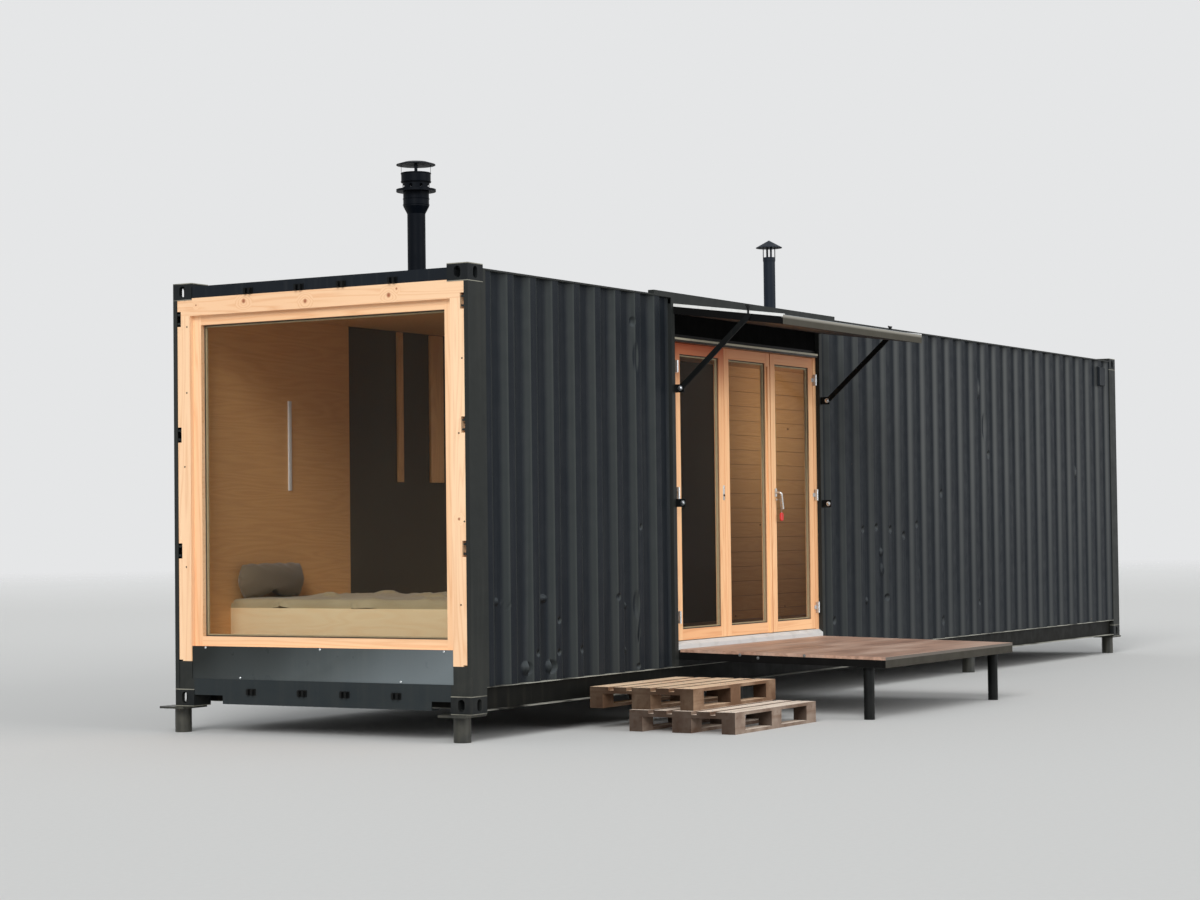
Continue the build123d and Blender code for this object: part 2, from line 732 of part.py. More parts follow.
def deck_panel():
    return prism_x(sloped_band(deck_top, -deck_reach, jamb_face, 0, deck_board), deck_start, deck_end)


def deck_legs():
    """Round legs with head plates, cut to the slope of the frame they carry."""
    low = deck_board + deck_frame_z
    cutter = prism_x(sloped_band(deck_top, -deck_reach, 0, 0, low), deck_start, deck_end)
    half = deck_leg_plate / 2
    legs = []
    for x, y in deck_leg_places:
        band = sloped_band(deck_top, y - half, y + half, low, low + deck_leg_plate_z)
        leg = rod(x, y, deck_leg_radius, -ground_gap, deck_top(y) - deck_board) - cutter
        legs.append(leg + prism_x(band, x - half, x + half))
    return legs


def pallet(corner, low):
    """A four-way pallet: three runners with blocks, three cross boards and five top boards."""
    x0, y0 = corner
    board, cross_x = pallet_board, wide_board
    block_low, cross_low = low + board, low + board + pallet_block_z
    top_low = cross_low + board
    middle_y = (pallet_y - wide_board) / 2
    runners = ((0, narrow_board), (middle_y, wide_board), (pallet_y - narrow_board, narrow_board))
    crosses = (0, (pallet_x - cross_x) / 2, pallet_x - cross_x)
    widths = (wide_board, narrow_board, wide_board, narrow_board, wide_board)
    space = (pallet_y - sum(widths)) / (len(widths) - 1)
    boards = [(sum(widths[:number]) + number * space, size) for number, size in enumerate(widths)]
    parts = []
    for y, size in runners:
        parts.append(block(x0, x0 + pallet_x, y0 + y, y0 + y + size, low, block_low))
        for x in crosses:
            parts.append(block(x0 + x, x0 + x + cross_x, y0 + y, y0 + y + size, block_low, cross_low))
    for x in crosses:
        parts.append(block(x0 + x, x0 + x + cross_x, y0, y0 + pallet_y, cross_low, top_low))
    for y, size in boards:
        parts.append(block(x0, x0 + pallet_x, y0 + y, y0 + y + size, top_low, top_low + board))
    return parts[0] + parts[1:]


def window_frame():
    """Outer timber frame, notched round the castings and the old hinge lugs."""
    x0, x1 = frame_face, window_back
    sides = (frame_edge, width - frame_edge)
    frame = block(x0, x1, *sides, stile_foot, header_low)
    frame -= block(x0 - 1, x1 + 1, *window_sides, stile_foot - 1, sash_top)
    casting_low = height - casting_z
    for y0, y1 in ((0, casting_y), (width - casting_y, width)):
        frame -= block(x0 - 1, x1 + 1, y0, y1, casting_low, header_low + 1)
    depth = frame_edge + lug_notch_y
    for z in hinge_lug_heights:
        for y0, y1 in ((0, depth), (width - depth, width)):
            frame -= block(x0 - 1, lug_notch_x, y0, y1, z - lug_notch_z / 2, z + lug_notch_z / 2)
    return frame


def window_sash():
    x0, x1 = frame_face + sash_setback, window_back
    sash = block(x0, x1, *window_sides, sash_low, sash_top)
    return sash - block(x0 - 1, x1 + 1, *glass_sides, sash_low + sash_rail, sash_top - sash_rail)


def window_glass():
    x0 = frame_face + sash_setback + glass_setback
    return block(x0, x0 + glass_x, *glass_sides, sash_low + sash_rail, sash_top - sash_rail)


def window_upstand():
    """Timber beam under the window, on the sill."""
    x0 = frame_face + apron_setback + apron_sheet
    return block(x0, window_back, *window_sides, sill_top, sash_low)


def window_apron():
    """Sheet metal over the face of the upstand."""
    x0 = frame_face + apron_setback
    return block(x0, x0 + apron_sheet, *window_sides, lip_top, sash_low)


def screw_piles():
    """Round piles with head plates under the castings and under the rails."""
    half_x, half_y = pile_plate_x / 2, pile_plate_y / 2
    columns = ((pile_end_inset, 0.0), (pile_middle_inset, bottom_rail_low),
               (length - pile_middle_inset, bottom_rail_low), (length - pile_end_inset, 0.0))
    piles = []
    for x, top in columns:
        for y in pile_rows:
            head = block(x - half_x, x + half_x, y - half_y, y + half_y, top - pile_plate_z, top)
            piles.append(head + rod(x, y, pile_radius, -ground_gap, top - pile_plate_z))
    return piles


def roof_pipe(radius, top):
    """A pipe with a flashing where it leaves the roof."""
    collar = radius + flashing_collar
    skirt = turned([(radius, roof_top), (flashing_radius, roof_top), (flashing_radius, roof_top + 3),
                    (collar, roof_top + flashing_rise), (radius, roof_top + flashing_rise)])
    return tube(radius, radius - pipe_wall, roof_top, top) + skirt


def flue_pipe():
    return Pos(*flue_at, 0) * roof_pipe(flue_radius, flue_top)


def flue_cowl():
    """Tapered socket, banded body, wide disc, neck with holes, drum, and a cap on straps."""
    wall = cowl_sheet
    band_low = flue_top + cowl_socket
    band_top = band_low + cowl_band
    disc_top = band_top + cowl_disc
    neck_top = disc_top + cowl_neck
    drum_top = neck_top + cowl_drum
    cap_low = drum_top + cowl_cap_gap
    cap_edge = cap_low + cowl_cap_edge
    outline = [(flue_radius, flue_top), (cowl_radius, band_low), (cowl_radius, band_top),
               (cowl_disc_radius, band_top), (cowl_disc_radius, disc_top),
               (cowl_neck_radius, disc_top), (cowl_neck_radius, neck_top),
               (cowl_drum_radius, neck_top), (cowl_drum_radius, drum_top),
               (cowl_drum_radius - wall, drum_top), (cowl_drum_radius - wall, neck_top + wall),
               (cowl_neck_radius - wall, neck_top + wall), (cowl_neck_radius - wall, band_top),
               (cowl_radius - wall, band_top), (cowl_radius - wall, band_low),
               (flue_radius - wall, flue_top)]
    hole_z = (disc_top + neck_top) / 2
    hole = Pos(cowl_neck_radius, 0, hole_z) * Rot(0, 90, 0) * Cylinder(cowl_hole_radius, 20)
    body = turned(outline) - around(cowl_holes, cowl_hole_turn, hole)
    shoulder_radius, shoulder_rise = cowl_cap_shoulder
    dome = [(0, cap_low), (cowl_cap_radius, cap_low), (cowl_cap_radius, cap_edge),
            (shoulder_radius, cap_edge + shoulder_rise), (0, cap_edge + cowl_cap_dome)]
    strap = block(cowl_drum_radius - strap_x, cowl_drum_radius, -strap_y / 2, strap_y / 2,
                  drum_top - 1, cap_low + 1)
    cap = turned(dome) + around(cowl_straps, cowl_strap_turn, strap)
    return Pos(*flue_at, 0) * (body + cap)


def vent_pipe():
    return Pos(*vent_pipe_at, 0) * roof_pipe(vent_pipe_radius, vent_pipe_top)


def vent_cap():
    """Conical rain cap held by straps on a collar round the pipe."""
    cap_low = vent_pipe_top + vent_cap_gap
    plate, collar_low, collar_top = vent_collar
    collar_low, collar_top = vent_pipe_top - collar_low, vent_pipe_top - collar_top
    outer = vent_pipe_radius + plate
    cone = [(0, cap_low), (vent_cap_radius, cap_low), (vent_cap_radius, cap_low + vent_cap_edge),
            (0, cap_low + vent_cap_height)]
    collar = tube(outer, vent_pipe_radius, collar_low, collar_top)
    strap = block(vent_pipe_radius, outer, -vent_strap_y / 2, vent_strap_y / 2, collar_low, cap_low + 1)
    return Pos(*vent_pipe_at, 0) * (turned(cone) + collar + around(vent_cap_straps, 45, strap))


def wall_vents():
    """Ventilator boxes near the top of both side walls, each on an outer flat of its wall."""
    half_x, half_z = vent_size[0] / 2, vent_size[1] / 2
    z = height - vent_drop
    face = wall_inset - vent_depth
    outline = [(face, z + half_z - vent_hood), (wall_inset, z + half_z), (wall_inset, z - half_z),
               (face, z - half_z + vent_chamfer)]
    vents = []
    for crest in (right_wall_crest, left_wall_crest):
        x = flat_near(length - vent_from_end, crest, side_flats)
        vents.append(prism_x(outline, x - half_x, x + half_x))
    return [vents[0], mirror_y(vents[1])]


pieces = {
    "upper_castings": upper_castings(),
    "lower_castings": lower_castings(),
    "corner_posts": corner_posts(),
    "end_headers": end_headers(),
    "end_sills": end_sills(),
    "bar_keepers": bar_keepers(),
    "top_side_rails": top_side_rails(),
    "bottom_side_rails": bottom_side_rails(),
    "front_wall_left": side_wall(window_post_x, opening_start, left_wall_crest),
    "front_wall_right": side_wall(opening_end, length - casting_x, right_wall_crest),
    "back_wall": mirror_y(side_wall(window_post_x, length - casting_x, left_wall_crest)),
    "blind_end_wall": blind_end_wall(),
    "roof_panel": roof_panel(),
    "cross_members": cross_members(),
    "floor_boards": floor_boards(),
    "insulated_floor": insulated_floor(),
    "front_wall_linings": front_wall_linings(),
    "back_wall_lining": back_wall_lining(),
    "blind_end_lining": blind_end_lining(),
    "ceiling": ceiling(),
    "bed_platform": bed_platform(),
    "mattress": mattress(),
    "pillow": pillow(),
    "opening_posts": opening_posts(),
    "opening_header": opening_header(),
    "opening_sill_beam": opening_sill_beam(),
    "lintel_panel": lintel_panel(),
    "door_frame": door_frame(),
    "door_sill": door_sill(),
    "drip_strip": drip_strip(),
    "folding_leaves": folding_leaves(),
    "folding_leaf_glass": [leaf_pane(0), leaf_pane(1)],
    "folding_hinges": folding_hinges(),
    "entrance_leaf": glazed_leaf(2),
    "entrance_leaf_glass": leaf_pane(2),
    "frame_hinges": frame_hinges(),
    "leaf_hinges": leaf_hinges(),
    "entrance_handle": entrance_handle(),
    "canopy_frame": canopy_frame(),
    "canopy_top_sheet": canopy_top_sheet(),
    "canopy_soffit": canopy_soffit(),
    "canopy_struts": canopy_struts(),
    "strut_brackets": strut_brackets(),
    "deck_frame": deck_frame(),
    "deck_panel": deck_panel(),
    "deck_legs": deck_legs(),
    "lower_pallet": pallet(lower_pallet_at, -ground_gap),
    "upper_pallet": pallet(upper_pallet_at, -ground_gap + 3 * pallet_board + pallet_block_z),
    "window_frame": window_frame(),
    "window_sash": window_sash(),
    "window_glass": window_glass(),
    "window_upstand": window_upstand(),
    "window_apron": window_apron(),
    "screw_piles": screw_piles(),
    "flue_pipe": flue_pipe(),
    "flue_cowl": flue_cowl(),
    "vent_pipe": vent_pipe(),
    "vent_cap": vent_cap(),
    "wall_vents": wall_vents(),
}

os.makedirs("parts", exist_ok=True)
far_edge = pile_rows[1] + pile_plate_y / 2
to_origin = Pos(-length / 2, -(far_edge - deck_reach) / 2, ground_gap)
for name, shape in pieces.items():
    loose = shape if isinstance(shape, list) else [shape]
    solids = [to_origin * solid for one in loose for solid in one.solids()]
    export_step(solids[0] if len(solids) == 1 else Compound(children=solids), f"parts/{name}.step")
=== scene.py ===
"""Looks of the shipping container cabin: the finish of its CAD pieces and the small things on them.

Metres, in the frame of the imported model: X runs from the window end to the blind end, Y from the
entrance side to the back, Z up. Places read from the real cabin are in millimetres from the near
lower corner of the container, and at(x, y, z) turns them into the frame.
"""

import math
import random

import bmesh
import bpy
from mathutils import Matrix, Vector


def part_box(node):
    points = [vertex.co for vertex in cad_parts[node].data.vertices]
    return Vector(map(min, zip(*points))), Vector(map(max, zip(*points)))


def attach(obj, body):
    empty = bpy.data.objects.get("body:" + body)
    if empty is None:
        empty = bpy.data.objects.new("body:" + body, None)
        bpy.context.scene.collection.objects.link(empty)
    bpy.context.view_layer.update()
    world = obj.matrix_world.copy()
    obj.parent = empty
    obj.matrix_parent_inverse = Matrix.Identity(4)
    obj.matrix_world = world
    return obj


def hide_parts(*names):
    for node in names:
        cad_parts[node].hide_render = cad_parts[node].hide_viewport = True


bl_info = {
    "name": "Container cabin",
    "version": (1, 0, 0),
    "blender": (4, 5, 0),
    "location": "3D View > Sidebar > Cabin",
    "description": "Finishes, panes, bedding and small fixings of a cabin in a shipping container",
    "category": "Object",
}

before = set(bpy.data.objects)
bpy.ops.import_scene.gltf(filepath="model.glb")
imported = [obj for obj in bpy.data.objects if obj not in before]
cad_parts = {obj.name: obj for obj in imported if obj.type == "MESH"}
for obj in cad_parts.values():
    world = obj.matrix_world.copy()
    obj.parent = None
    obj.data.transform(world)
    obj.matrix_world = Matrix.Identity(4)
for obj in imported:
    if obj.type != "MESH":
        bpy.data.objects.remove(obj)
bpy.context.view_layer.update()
near_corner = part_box("lower_castings")[0]

BODY, DOOR = "cabin", "entrance_door"
MM = 0.001

# Metres: between a small piece and what carries it, and round the parts of a pane
CLEAR, PANE_MARGIN = 0.0002, 0.0004
MATTRESS_SINK = 0.032  # metres by which the mattress is thinner than its CAD box
CLOTH_GAP = 0.004  # metres that cloth keeps from what it lies on

# Places on the cabin, in millimetres from the near lower corner
CONTAINER_MIDDLE = 1219.0
FOLDING_PANE_ENDS, FOLDING_SEAM = (3450.0, 3610.3), 3530.0
WINDOW_KNOTS = ((1825, 2746, 15), (1305, 2717, 14), (623, 2718, 15), (560, 2756, 7), (87, 1251, 9), (2240, 2740, 6))
WINDOW_SCREWS = ((2320, 2595), (2324, 2142), (2346, 1635), (2338, 950), (52, 2281), (81, 1801), (45, 1235), (78, 702))
APRON_SCREWS = ((2179, 401), (1209, 401), (217, 401), (557, 201), (1881, 201))
DECK_BOLTS = ((-486, 260), (-632, 240), (-1002, 262))
STRUT_BOLT_HEIGHT, LATCH_BOLT_HEIGHT = 2195.0, 1360.0
BOLT_LINE, WING_NUT_LINE = -55.0, -615.0
CANOPY_THICKNESS, CANOPY_SKIN = 68.0, 3.0
BRACKET_PLATE = 8.0
HANDLE_HUB = (4367.0, 1447.0)
LOCK_PLATE = (3508.0, 1440.0)
KEY_TAG = (4398.0, 1290.0)
# Ends of the bed nook and of the back wall's part painted dark as shade
BED_NOOK_END, SHADED_PART_END = 1889.0, 7680.0
# Places on a pallet, from its own corner
PALLET_BOARDS, PALLET_BLOCKS = (72, 212, 400, 588, 728), (72, 600, 1128)
# Distance of the side walls' inner and outer bends from the middle of the container
INNER_BEND, OUTER_BEND = 1175.0, 1211.0
# Upright timbers on the back wall: from and to along X, from and to up Z, thickness
WALL_TIMBERS = ((2499, 2565, 1556, 2712, 22), (2937, 3111, 1556, 2712, 22))
WALL_STRIP = (1141, 1175, 1480, 2129, 12)
# Dents: place along the wall, height, half width, half height, depth
LEFT_DENTS = ((700, 262, 58, 50, 19), (1000, 258, 56, 50, 19), (358, 710, 34, 30, 10), (446, 688, 44, 40, 13),
              (926, 714, 58, 32, 14), (1082, 566, 26, 26, 10), (813, 358, 26, 26, 9), (1077, 352, 28, 26, 9),
              (1376, 359, 26, 30, 10), (2003, 318, 34, 30, 9), (2008, 632, 34, 28, 9), (2151, 204, 24, 24, 8),
              (2140, 640, 34, 110, 12), (2150, 440, 28, 90, 11), (2130, 2650, 30, 40, 10), (2158, 2400, 34, 130, 10),
              (2196, 1190, 24, 28, 8), (1880, 700, 28, 30, 8))
RIGHT_DENTS = ((5918, 1151, 30, 34, 16), (6186, 1167, 34, 36, 18), (6470, 1148, 34, 38, 18),
               (6748, 1094, 36, 40, 20), (7027, 1188, 32, 36, 16), (7576, 1463, 34, 42, 17),
               (8550, 2430, 42, 110, 18), (8640, 2090, 34, 150, 14), (8694, 1830, 38, 46, 18),
               (11062, 1689, 38, 70, 18), (8438, 471, 32, 36, 15), (6342, 951, 36, 40, 14), (6350, 800, 34, 60, 12),
               (6412, 567, 30, 34, 15), (6042, 546, 30, 34, 14), (7584, 330, 34, 50, 15), (5345, 410, 34, 38, 14),
               (7129, 741, 32, 90, 12))

# Camera, fitted to the corner castings
EYE = (-19.6225, -9.4969, 1.3551)
CAMERA_RIGHT = (0.51299901, -0.85830948, -0.01169858)
CAMERA_DOWN = (0.02068186, 0.02598351, -0.99944841)
CAMERA_FORWARD = (0.85814001, 0.51247409, 0.03108095)
LENS, SENSOR = 76.437, 36.0

# Colours and sizes that a user would change: name, description and value
COLOURS = {
    "container": ("Walls", "Paint of the walls", "#14181e"),
    "container_worn": ("Walls, worn", "Paler patches of the walls' paint", "#1d2227"),
    # Painted highlight, over a little chalking, on the slopes of the folds, near and beyond the entrance
    "container_slopes": ("Walls, slopes", "Chalked coat and painted highlight on the slopes of the folds", "#363a39"),
    "container_slopes_far": ("Walls, far slopes", "The same beyond the entrance", "#4c4e4e"),
    "posts": ("Posts", "Paint of posts and rails", "#1f2222"),
    "posts_worn": ("Posts, worn", "Paler patches of the posts' paint", "#2d2f2d"),
    "sheet_trim": ("Sheet trim", "Coat of the apron", "#494f50"),
    "pine": ("Pine", "Frame of the window", "#fcd5ac"),
    "pine_deep": ("Pine, late wood", "Dark grain of the window's pine", "#d9955f"),
    "sash_pine": ("Sash", "Sash of the window", "#fad0a4"),
    "door_pine": ("Door pine", "Stained pine of the doors", "#ffcd9a"),
    "door_pine_deep": ("Door pine, late wood", "Dark grain of the doors' pine", "#db8a55"),
    "deck": ("Deck", "Film on the deck's board", "#c69f88"),
    "deck_deep": ("Deck, dark", "Darker streaks of the deck's board", "#927262"),
}
SIZES = {
    "glass": ("Glass", "Thickness of one sheet of glass", 0.004),
    "seal": ("Seal", "Width of the black seal round a pane", 0.006),
    "spacer": ("Spacer", "Depth of the spacer bar from the pane's edge", 0.015),
    "screw": ("Screw head", "Radius of a screw's head", 0.0065),
    "bolt": ("Bolt head", "Half the width of a bolt's head", 0.011),
    "crease": ("Crease", "Height of the waves in the cover before it settles", 0.07),
}


def properties(kind, rows, **settings):
    """Properties of one kind from rows of a name, a description and a value."""
    return {key: kind(name=name, description=text, default=value, **settings)
            for key, (name, text, value) in rows.items()}


class CabinColours(bpy.types.PropertyGroup):
    """Colours of the cabin's finishes, as sRGB hex codes."""
    __annotations__ = properties(bpy.props.StringProperty, COLOURS)


class CabinSizes(bpy.types.PropertyGroup):
    """Sizes of the pieces that Blender adds."""
    __annotations__ = properties(bpy.props.FloatProperty, SIZES, unit="LENGTH")


def at(x=0.0, y=0.0, z=0.0):
    """A place in the frame from millimetres from the near lower corner of the container."""
    return near_corner + Vector((x, y, z)) * MM


# Modelling helpers

def deselect():
    bpy.ops.object.select_all(action="DESELECT")


def choose(piece):
    """Selects one piece alone and makes it the active one."""
    deselect()
    piece.select_set(True)
    bpy.context.view_layer.objects.active = piece


def settle(name):
    """Names the active piece and puts its place, turn and size into its mesh."""
    piece = bpy.context.object
    piece.name = piece.data.name = name
    bpy.ops.object.transform_apply(location=True, rotation=True, scale=True)
    return piece


def start_block(name, low, high):
    """A cube primitive between two corners."""
    deselect()
    low, high = Vector(low), Vector(high)
    bpy.ops.mesh.primitive_cube_add(size=1, location=(low + high) / 2)
    bpy.context.object.scale = high - low
    return settle(name)


def start_disc(name, radius, height, sides=16):
    """A cylinder primitive that stands on the origin."""
    deselect()
    bpy.ops.mesh.primitive_cylinder_add(vertices=sides, radius=radius, depth=height, location=(0, 0, height / 2))
    return settle(name)


def edit(piece, mode="FACE", wanted=None):
    """Opens a piece in edit mode, with everything selected or what a test of place and direction picks."""
    choose(piece)
    bpy.ops.object.mode_set(mode="EDIT")
    bpy.ops.mesh.select_mode(type=mode)
    bpy.ops.mesh.select_all(action="DESELECT" if wanted else "SELECT")
    if not wanted:
        return
    mesh = bmesh.from_edit_mesh(piece.data)
    if mode == "FACE":
        parts = [(face, face.calc_center_median(), face.normal) for face in mesh.faces]
    elif mode == "EDGE":
        ends = [(edge, edge.verts[0].co, edge.verts[1].co) for edge in mesh.edges]
        parts = [(edge, (first + last) / 2, last - first) for edge, first, last in ends]
    else:
        parts = [(vertex, vertex.co, vertex.normal) for vertex in mesh.verts]
    for part in [part for part, place, direction in parts if wanted(place, direction)]:
        part.select_set(True)
    bmesh.update_edit_mesh(piece.data)


def close_edit():
    bpy.ops.object.mode_set(mode="OBJECT")


def round_edges(piece, width, segments=2, wanted=None):
    """Bevels every edge of a piece, or those that a test picks."""
    edit(piece, "EDGE", wanted)
    bpy.ops.mesh.bevel(offset=width, offset_type="OFFSET", segments=segments, affect="EDGES")
    close_edit()
    return piece


def inset_faces(piece, wanted, *steps):
    """Insets the faces that a test picks, step by step, by a thickness and a depth."""
    edit(piece, "FACE", wanted)
    for thickness, depth in steps:
        bpy.ops.mesh.inset(thickness=thickness, depth=depth)
    close_edit()
    return piece


def shift(piece, wanted, step):
    """Moves the vertices that a test picks."""
    edit(piece, "VERT", wanted)
    bpy.ops.transform.translate(value=step)
    close_edit()
    return piece


def upward(centre, normal):
    return normal.z > 0.9


def ring(name, low, high, axis, member, edge):
    """A rectangular ring between two corners, open along one axis, with a member of one width."""
    piece = start_block(name, low, high)
    edit(piece, "FACE", lambda centre, normal: abs(normal[axis]) > 0.9)
    bpy.ops.mesh.inset(thickness=member, depth=0.0)
    bpy.ops.mesh.bridge_edge_loops()
    bpy.ops.mesh.select_all(action="SELECT")
    bpy.ops.mesh.normals_make_consistent(inside=False)
    close_edit()
    return round_edges(piece, edge, 1)


def facing(spot, direction):
    """The place and turn of a piece whose own Z axis looks in a direction."""
    turn = Vector(direction).to_track_quat("Z", "Y").to_matrix().to_4x4()
    return Matrix.Translation(Vector(spot)) @ turn


def on_end(face, marks):
    """Places on a face that looks towards the window end, from pairs of Y and Z."""
    return [facing((face, at(y=y).y, at(z=z).z), (-1, 0, 0)) for y, z in marks]


def join(pieces, name):
    deselect()
    for piece in pieces:
        piece.select_set(True)
    bpy.context.view_layer.objects.active = pieces[0]
    if len(pieces) > 1:
        bpy.ops.object.join()
    joined = bpy.context.object
    joined.name = joined.data.name = name
    return joined


def copies(master, name, places):
    """Copies of a master at each place, each with its own mesh, joined into one piece."""
    made = []
    for place in places:
        one = master.copy()
        one.data = master.data.copy()
        one.data.transform(place)
        bpy.context.collection.objects.link(one)
        made.append(one)
    bpy.data.objects.remove(master)
    return join(made, name)


def dress(maker, *nodes):
    """Gives CAD nodes a finish."""
    for name in nodes:
        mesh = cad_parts[name].data
        mesh.materials.clear()
        mesh.materials.append(finish_of(maker))


def give(piece, maker, slot, body=BODY, angle=35.0):
    """Gives a finished piece its finish, its smooth faces and its body; the slot is not used."""
    piece.data.materials.clear()
    piece.data.materials.append(finish_of(maker))
    choose(piece)
    bpy.ops.object.shade_smooth_by_angle(angle=math.radians(angle))
    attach(piece, body)
    return piece


# Material helpers

def linear(code):
    """An sRGB hex colour as the linear colour that shader sockets take."""
    parts = [int(code[start:start + 2], 16) / 255 for start in (1, 3, 5)]
    return tuple(p / 12.92 if p <= 0.04045 else ((p + 0.055) / 1.055) ** 2.4 for p in parts) + (1.0,)


def tone(colour):
    """A hex colour or one of the cabin's colours made linear; another node's output stays as it is."""
    if not isinstance(colour, str):
        return colour
    return linear(getattr(bpy.context.scene.cabin_colours, colour, colour))


def plug(tree, socket, value):
    """Sets an input to a value, or links another node's output to it."""
    if isinstance(value, bpy.types.NodeSocket):
        tree.links.new(value, socket)
    else:
        socket.default_value = value


def add(tree, kind, inputs=(), out=0, **settings):
    """Adds a node with its settings and its inputs, by number or by name, and returns one output."""
    made = tree.nodes.new("ShaderNode" + kind)
    for name, value in settings.items():
        setattr(made, name, value)
    for socket, value in inputs.items() if isinstance(inputs, dict) else enumerate(inputs):
        plug(tree, made.inputs[socket], value)
    return made.outputs[out]


class Finish:
    """A material in the making: its nodes, its shader, its object coordinates and its colour so far."""

    def __init__(self, name, colour, roughness=0.5, metallic=0.0, gloss=0.5):
        self.material = bpy.data.materials.new(name)
        self.material.use_nodes = True
        self.tree = self.material.node_tree
        self.shader = self.tree.nodes["Principled BSDF"]
        self.coords = self.add("TexCoord", (), "Object")
        self.colour = tone(colour)
        for socket, value in (("Roughness", roughness), ("Metallic", metallic), ("Specular IOR Level", gloss)):
            self.put(socket, value)

    def add(self, *node, **settings):
        return add(self.tree, *node, **settings)

    def put(self, socket, value):
        """Sets or links an input of the shader."""
        plug(self.tree, self.shader.inputs[socket], value)

    def lay(self, share, colour, *reach):
        """Lays a colour over the one so far, by a share, or by a value's low and high and the shares there."""
        if reach:
            share = self.add("MapRange", (share,) + reach)
        self.colour = self.add("Mix", {0: share, 6: self.colour, 7: tone(colour)}, 2, data_type="RGBA")

    def rough(self, value, least, most, low=0.3, high=0.7):
        """Lets the roughness follow a value."""
        self.put("Roughness", self.add("MapRange", (value, low, high, least, most)))

    def bump(self, *layers):
        """Lays bumps over each other: pairs of a height and its depth in metres."""
        normal = {}
        for height, depth in layers:
            inputs = {"Strength": 1.0, "Distance": depth, "Height": height, **normal}
            normal = {"Normal": self.add("Bump", inputs)}
        self.put("Normal", normal["Normal"])

    def noise(self, per_metre, detail=3.0, vector=None):
        """Noise with one fineness, or with its own along X, Y and Z, in patches per metre."""
        scale = (per_metre,) * 3 if isinstance(per_metre, float) else per_metre
        stretched = self.add("Mapping", {"Vector": vector or self.coords, "Scale": scale})
        return self.add("TexNoise", {"Vector": stretched, "Scale": 1.0, "Detail": detail}, "Fac")

    def along(self, source, axis):
        """The part along an axis of the place, or of a normal of the geometry."""
        vector = self.coords if source == "place" else self.add("NewGeometry", (), source)
        return self.add("SeparateXYZ", (vector,), axis)

    def band(self, axis, low, high):
        """1 where the place lies between two others along an axis, else 0."""
        inputs = (self.along("place", axis), (low + high) / 2, (high - low) / 2)
        return self.add("Math", inputs, operation="COMPARE")

    def joints(self, axis, step, half):
        """1 at thin joints that lie one step apart along an axis, else 0."""
        turn = self.add("Math", (self.along("place", axis), step), operation="FLOORED_MODULO")
        return self.add("Math", (turn, 0.0, half), operation="COMPARE")

    def rings(self, field, lines):
        """Growth rings: lines that follow a slow field."""
        return self.add("Math", (self.add("Math", (field, lines), operation="MULTIPLY"), 0.5), operation="PINGPONG")

    def grain(self, run, rails=None):
        """Coordinates with X along the grain, which runs along one axis, or upright where rails is 0."""
        x, y, z = self.add("SeparateXYZ", (self.coords,)).node.outputs
        upright = self.add("CombineXYZ", (z, x, y))
        if run == "Z":
            return upright
        level = self.add("CombineXYZ", (x, z, y) if run == "X" else (y, z, x))
        if rails is None:
            return level
        return self.add("Mix", {0: rails, 4: upright, 5: level}, 1, data_type="VECTOR")


# Kinds of finish

def painted_steel(name, coat, worn, dust, roughness, front=None, splash=0.35, gloss=0.12, slopes=None,
                  streaks=0.35, chips=0.7):
    """Brushed or rolled paint on steel: patches of the coat, rain streaks, dust and earth, with painted light on front
    faces and on the folds where asked.
    """
    look = Finish(name, coat, gloss=gloss)
    # The coat differs a little over about half a metre
    look.lay(look.noise((1.6, 1.6, 1.1), 4.0), worn)
    # Painted highlight on the slopes of the folds, and painted highlight and shade in the dents
    if slopes:
        chalk_and_light_folds(look, *slopes)
    # Rain draws streaks about 40 mm wide down the upright faces
    look.lay(look.noise((24.0, 24.0, 0.9), 4.0), dust, 0.52, 0.78, 0.0, streaks)
    # Painted light: faces that look to the front take a paler colour, as lit from there, over some weathering
    if front:
        look.lay(look.along("Normal", "Y"), front, -0.85, -0.98)
    # Earth splashes up to about 600 mm above the ground, and dust lies on what looks up
    mottle = look.noise(9.0, 5.0)
    low_part = look.add("MapRange", (look.along("place", "Z"), 0.75, 0.2, 0.0, splash))
    up_part = look.add("MapRange", (look.along("Normal", "Z"), 0.7, 0.98, 0.0, 0.45))
    dusty = look.add("Math", (low_part, up_part), operation="MAXIMUM")
    broken = look.add("MapRange", (mottle, 0.3, 0.75))
    look.lay(look.add("Math", (dusty, broken), operation="MULTIPLY"), dust)
    # Specks of chipped paint, about 5 mm, a few to each square metre
    cells = look.add("TexVoronoi", {"Vector": look.coords, "Scale": 2.6}, "Distance")
    look.lay(cells, "#6a5a4e", 0.017, 0.010, 0.0, chips)
    look.rough(mottle, roughness - 0.06, roughness + 0.1)
    # Sheets wave by about 1 mm over 300 mm, and the coat has a fine peel of 3 mm
    look.bump((look.noise((3.2, 3.2, 2.2), 1.0), 0.0025), (look.noise(330.0, 1.0), 0.00008))
    return look


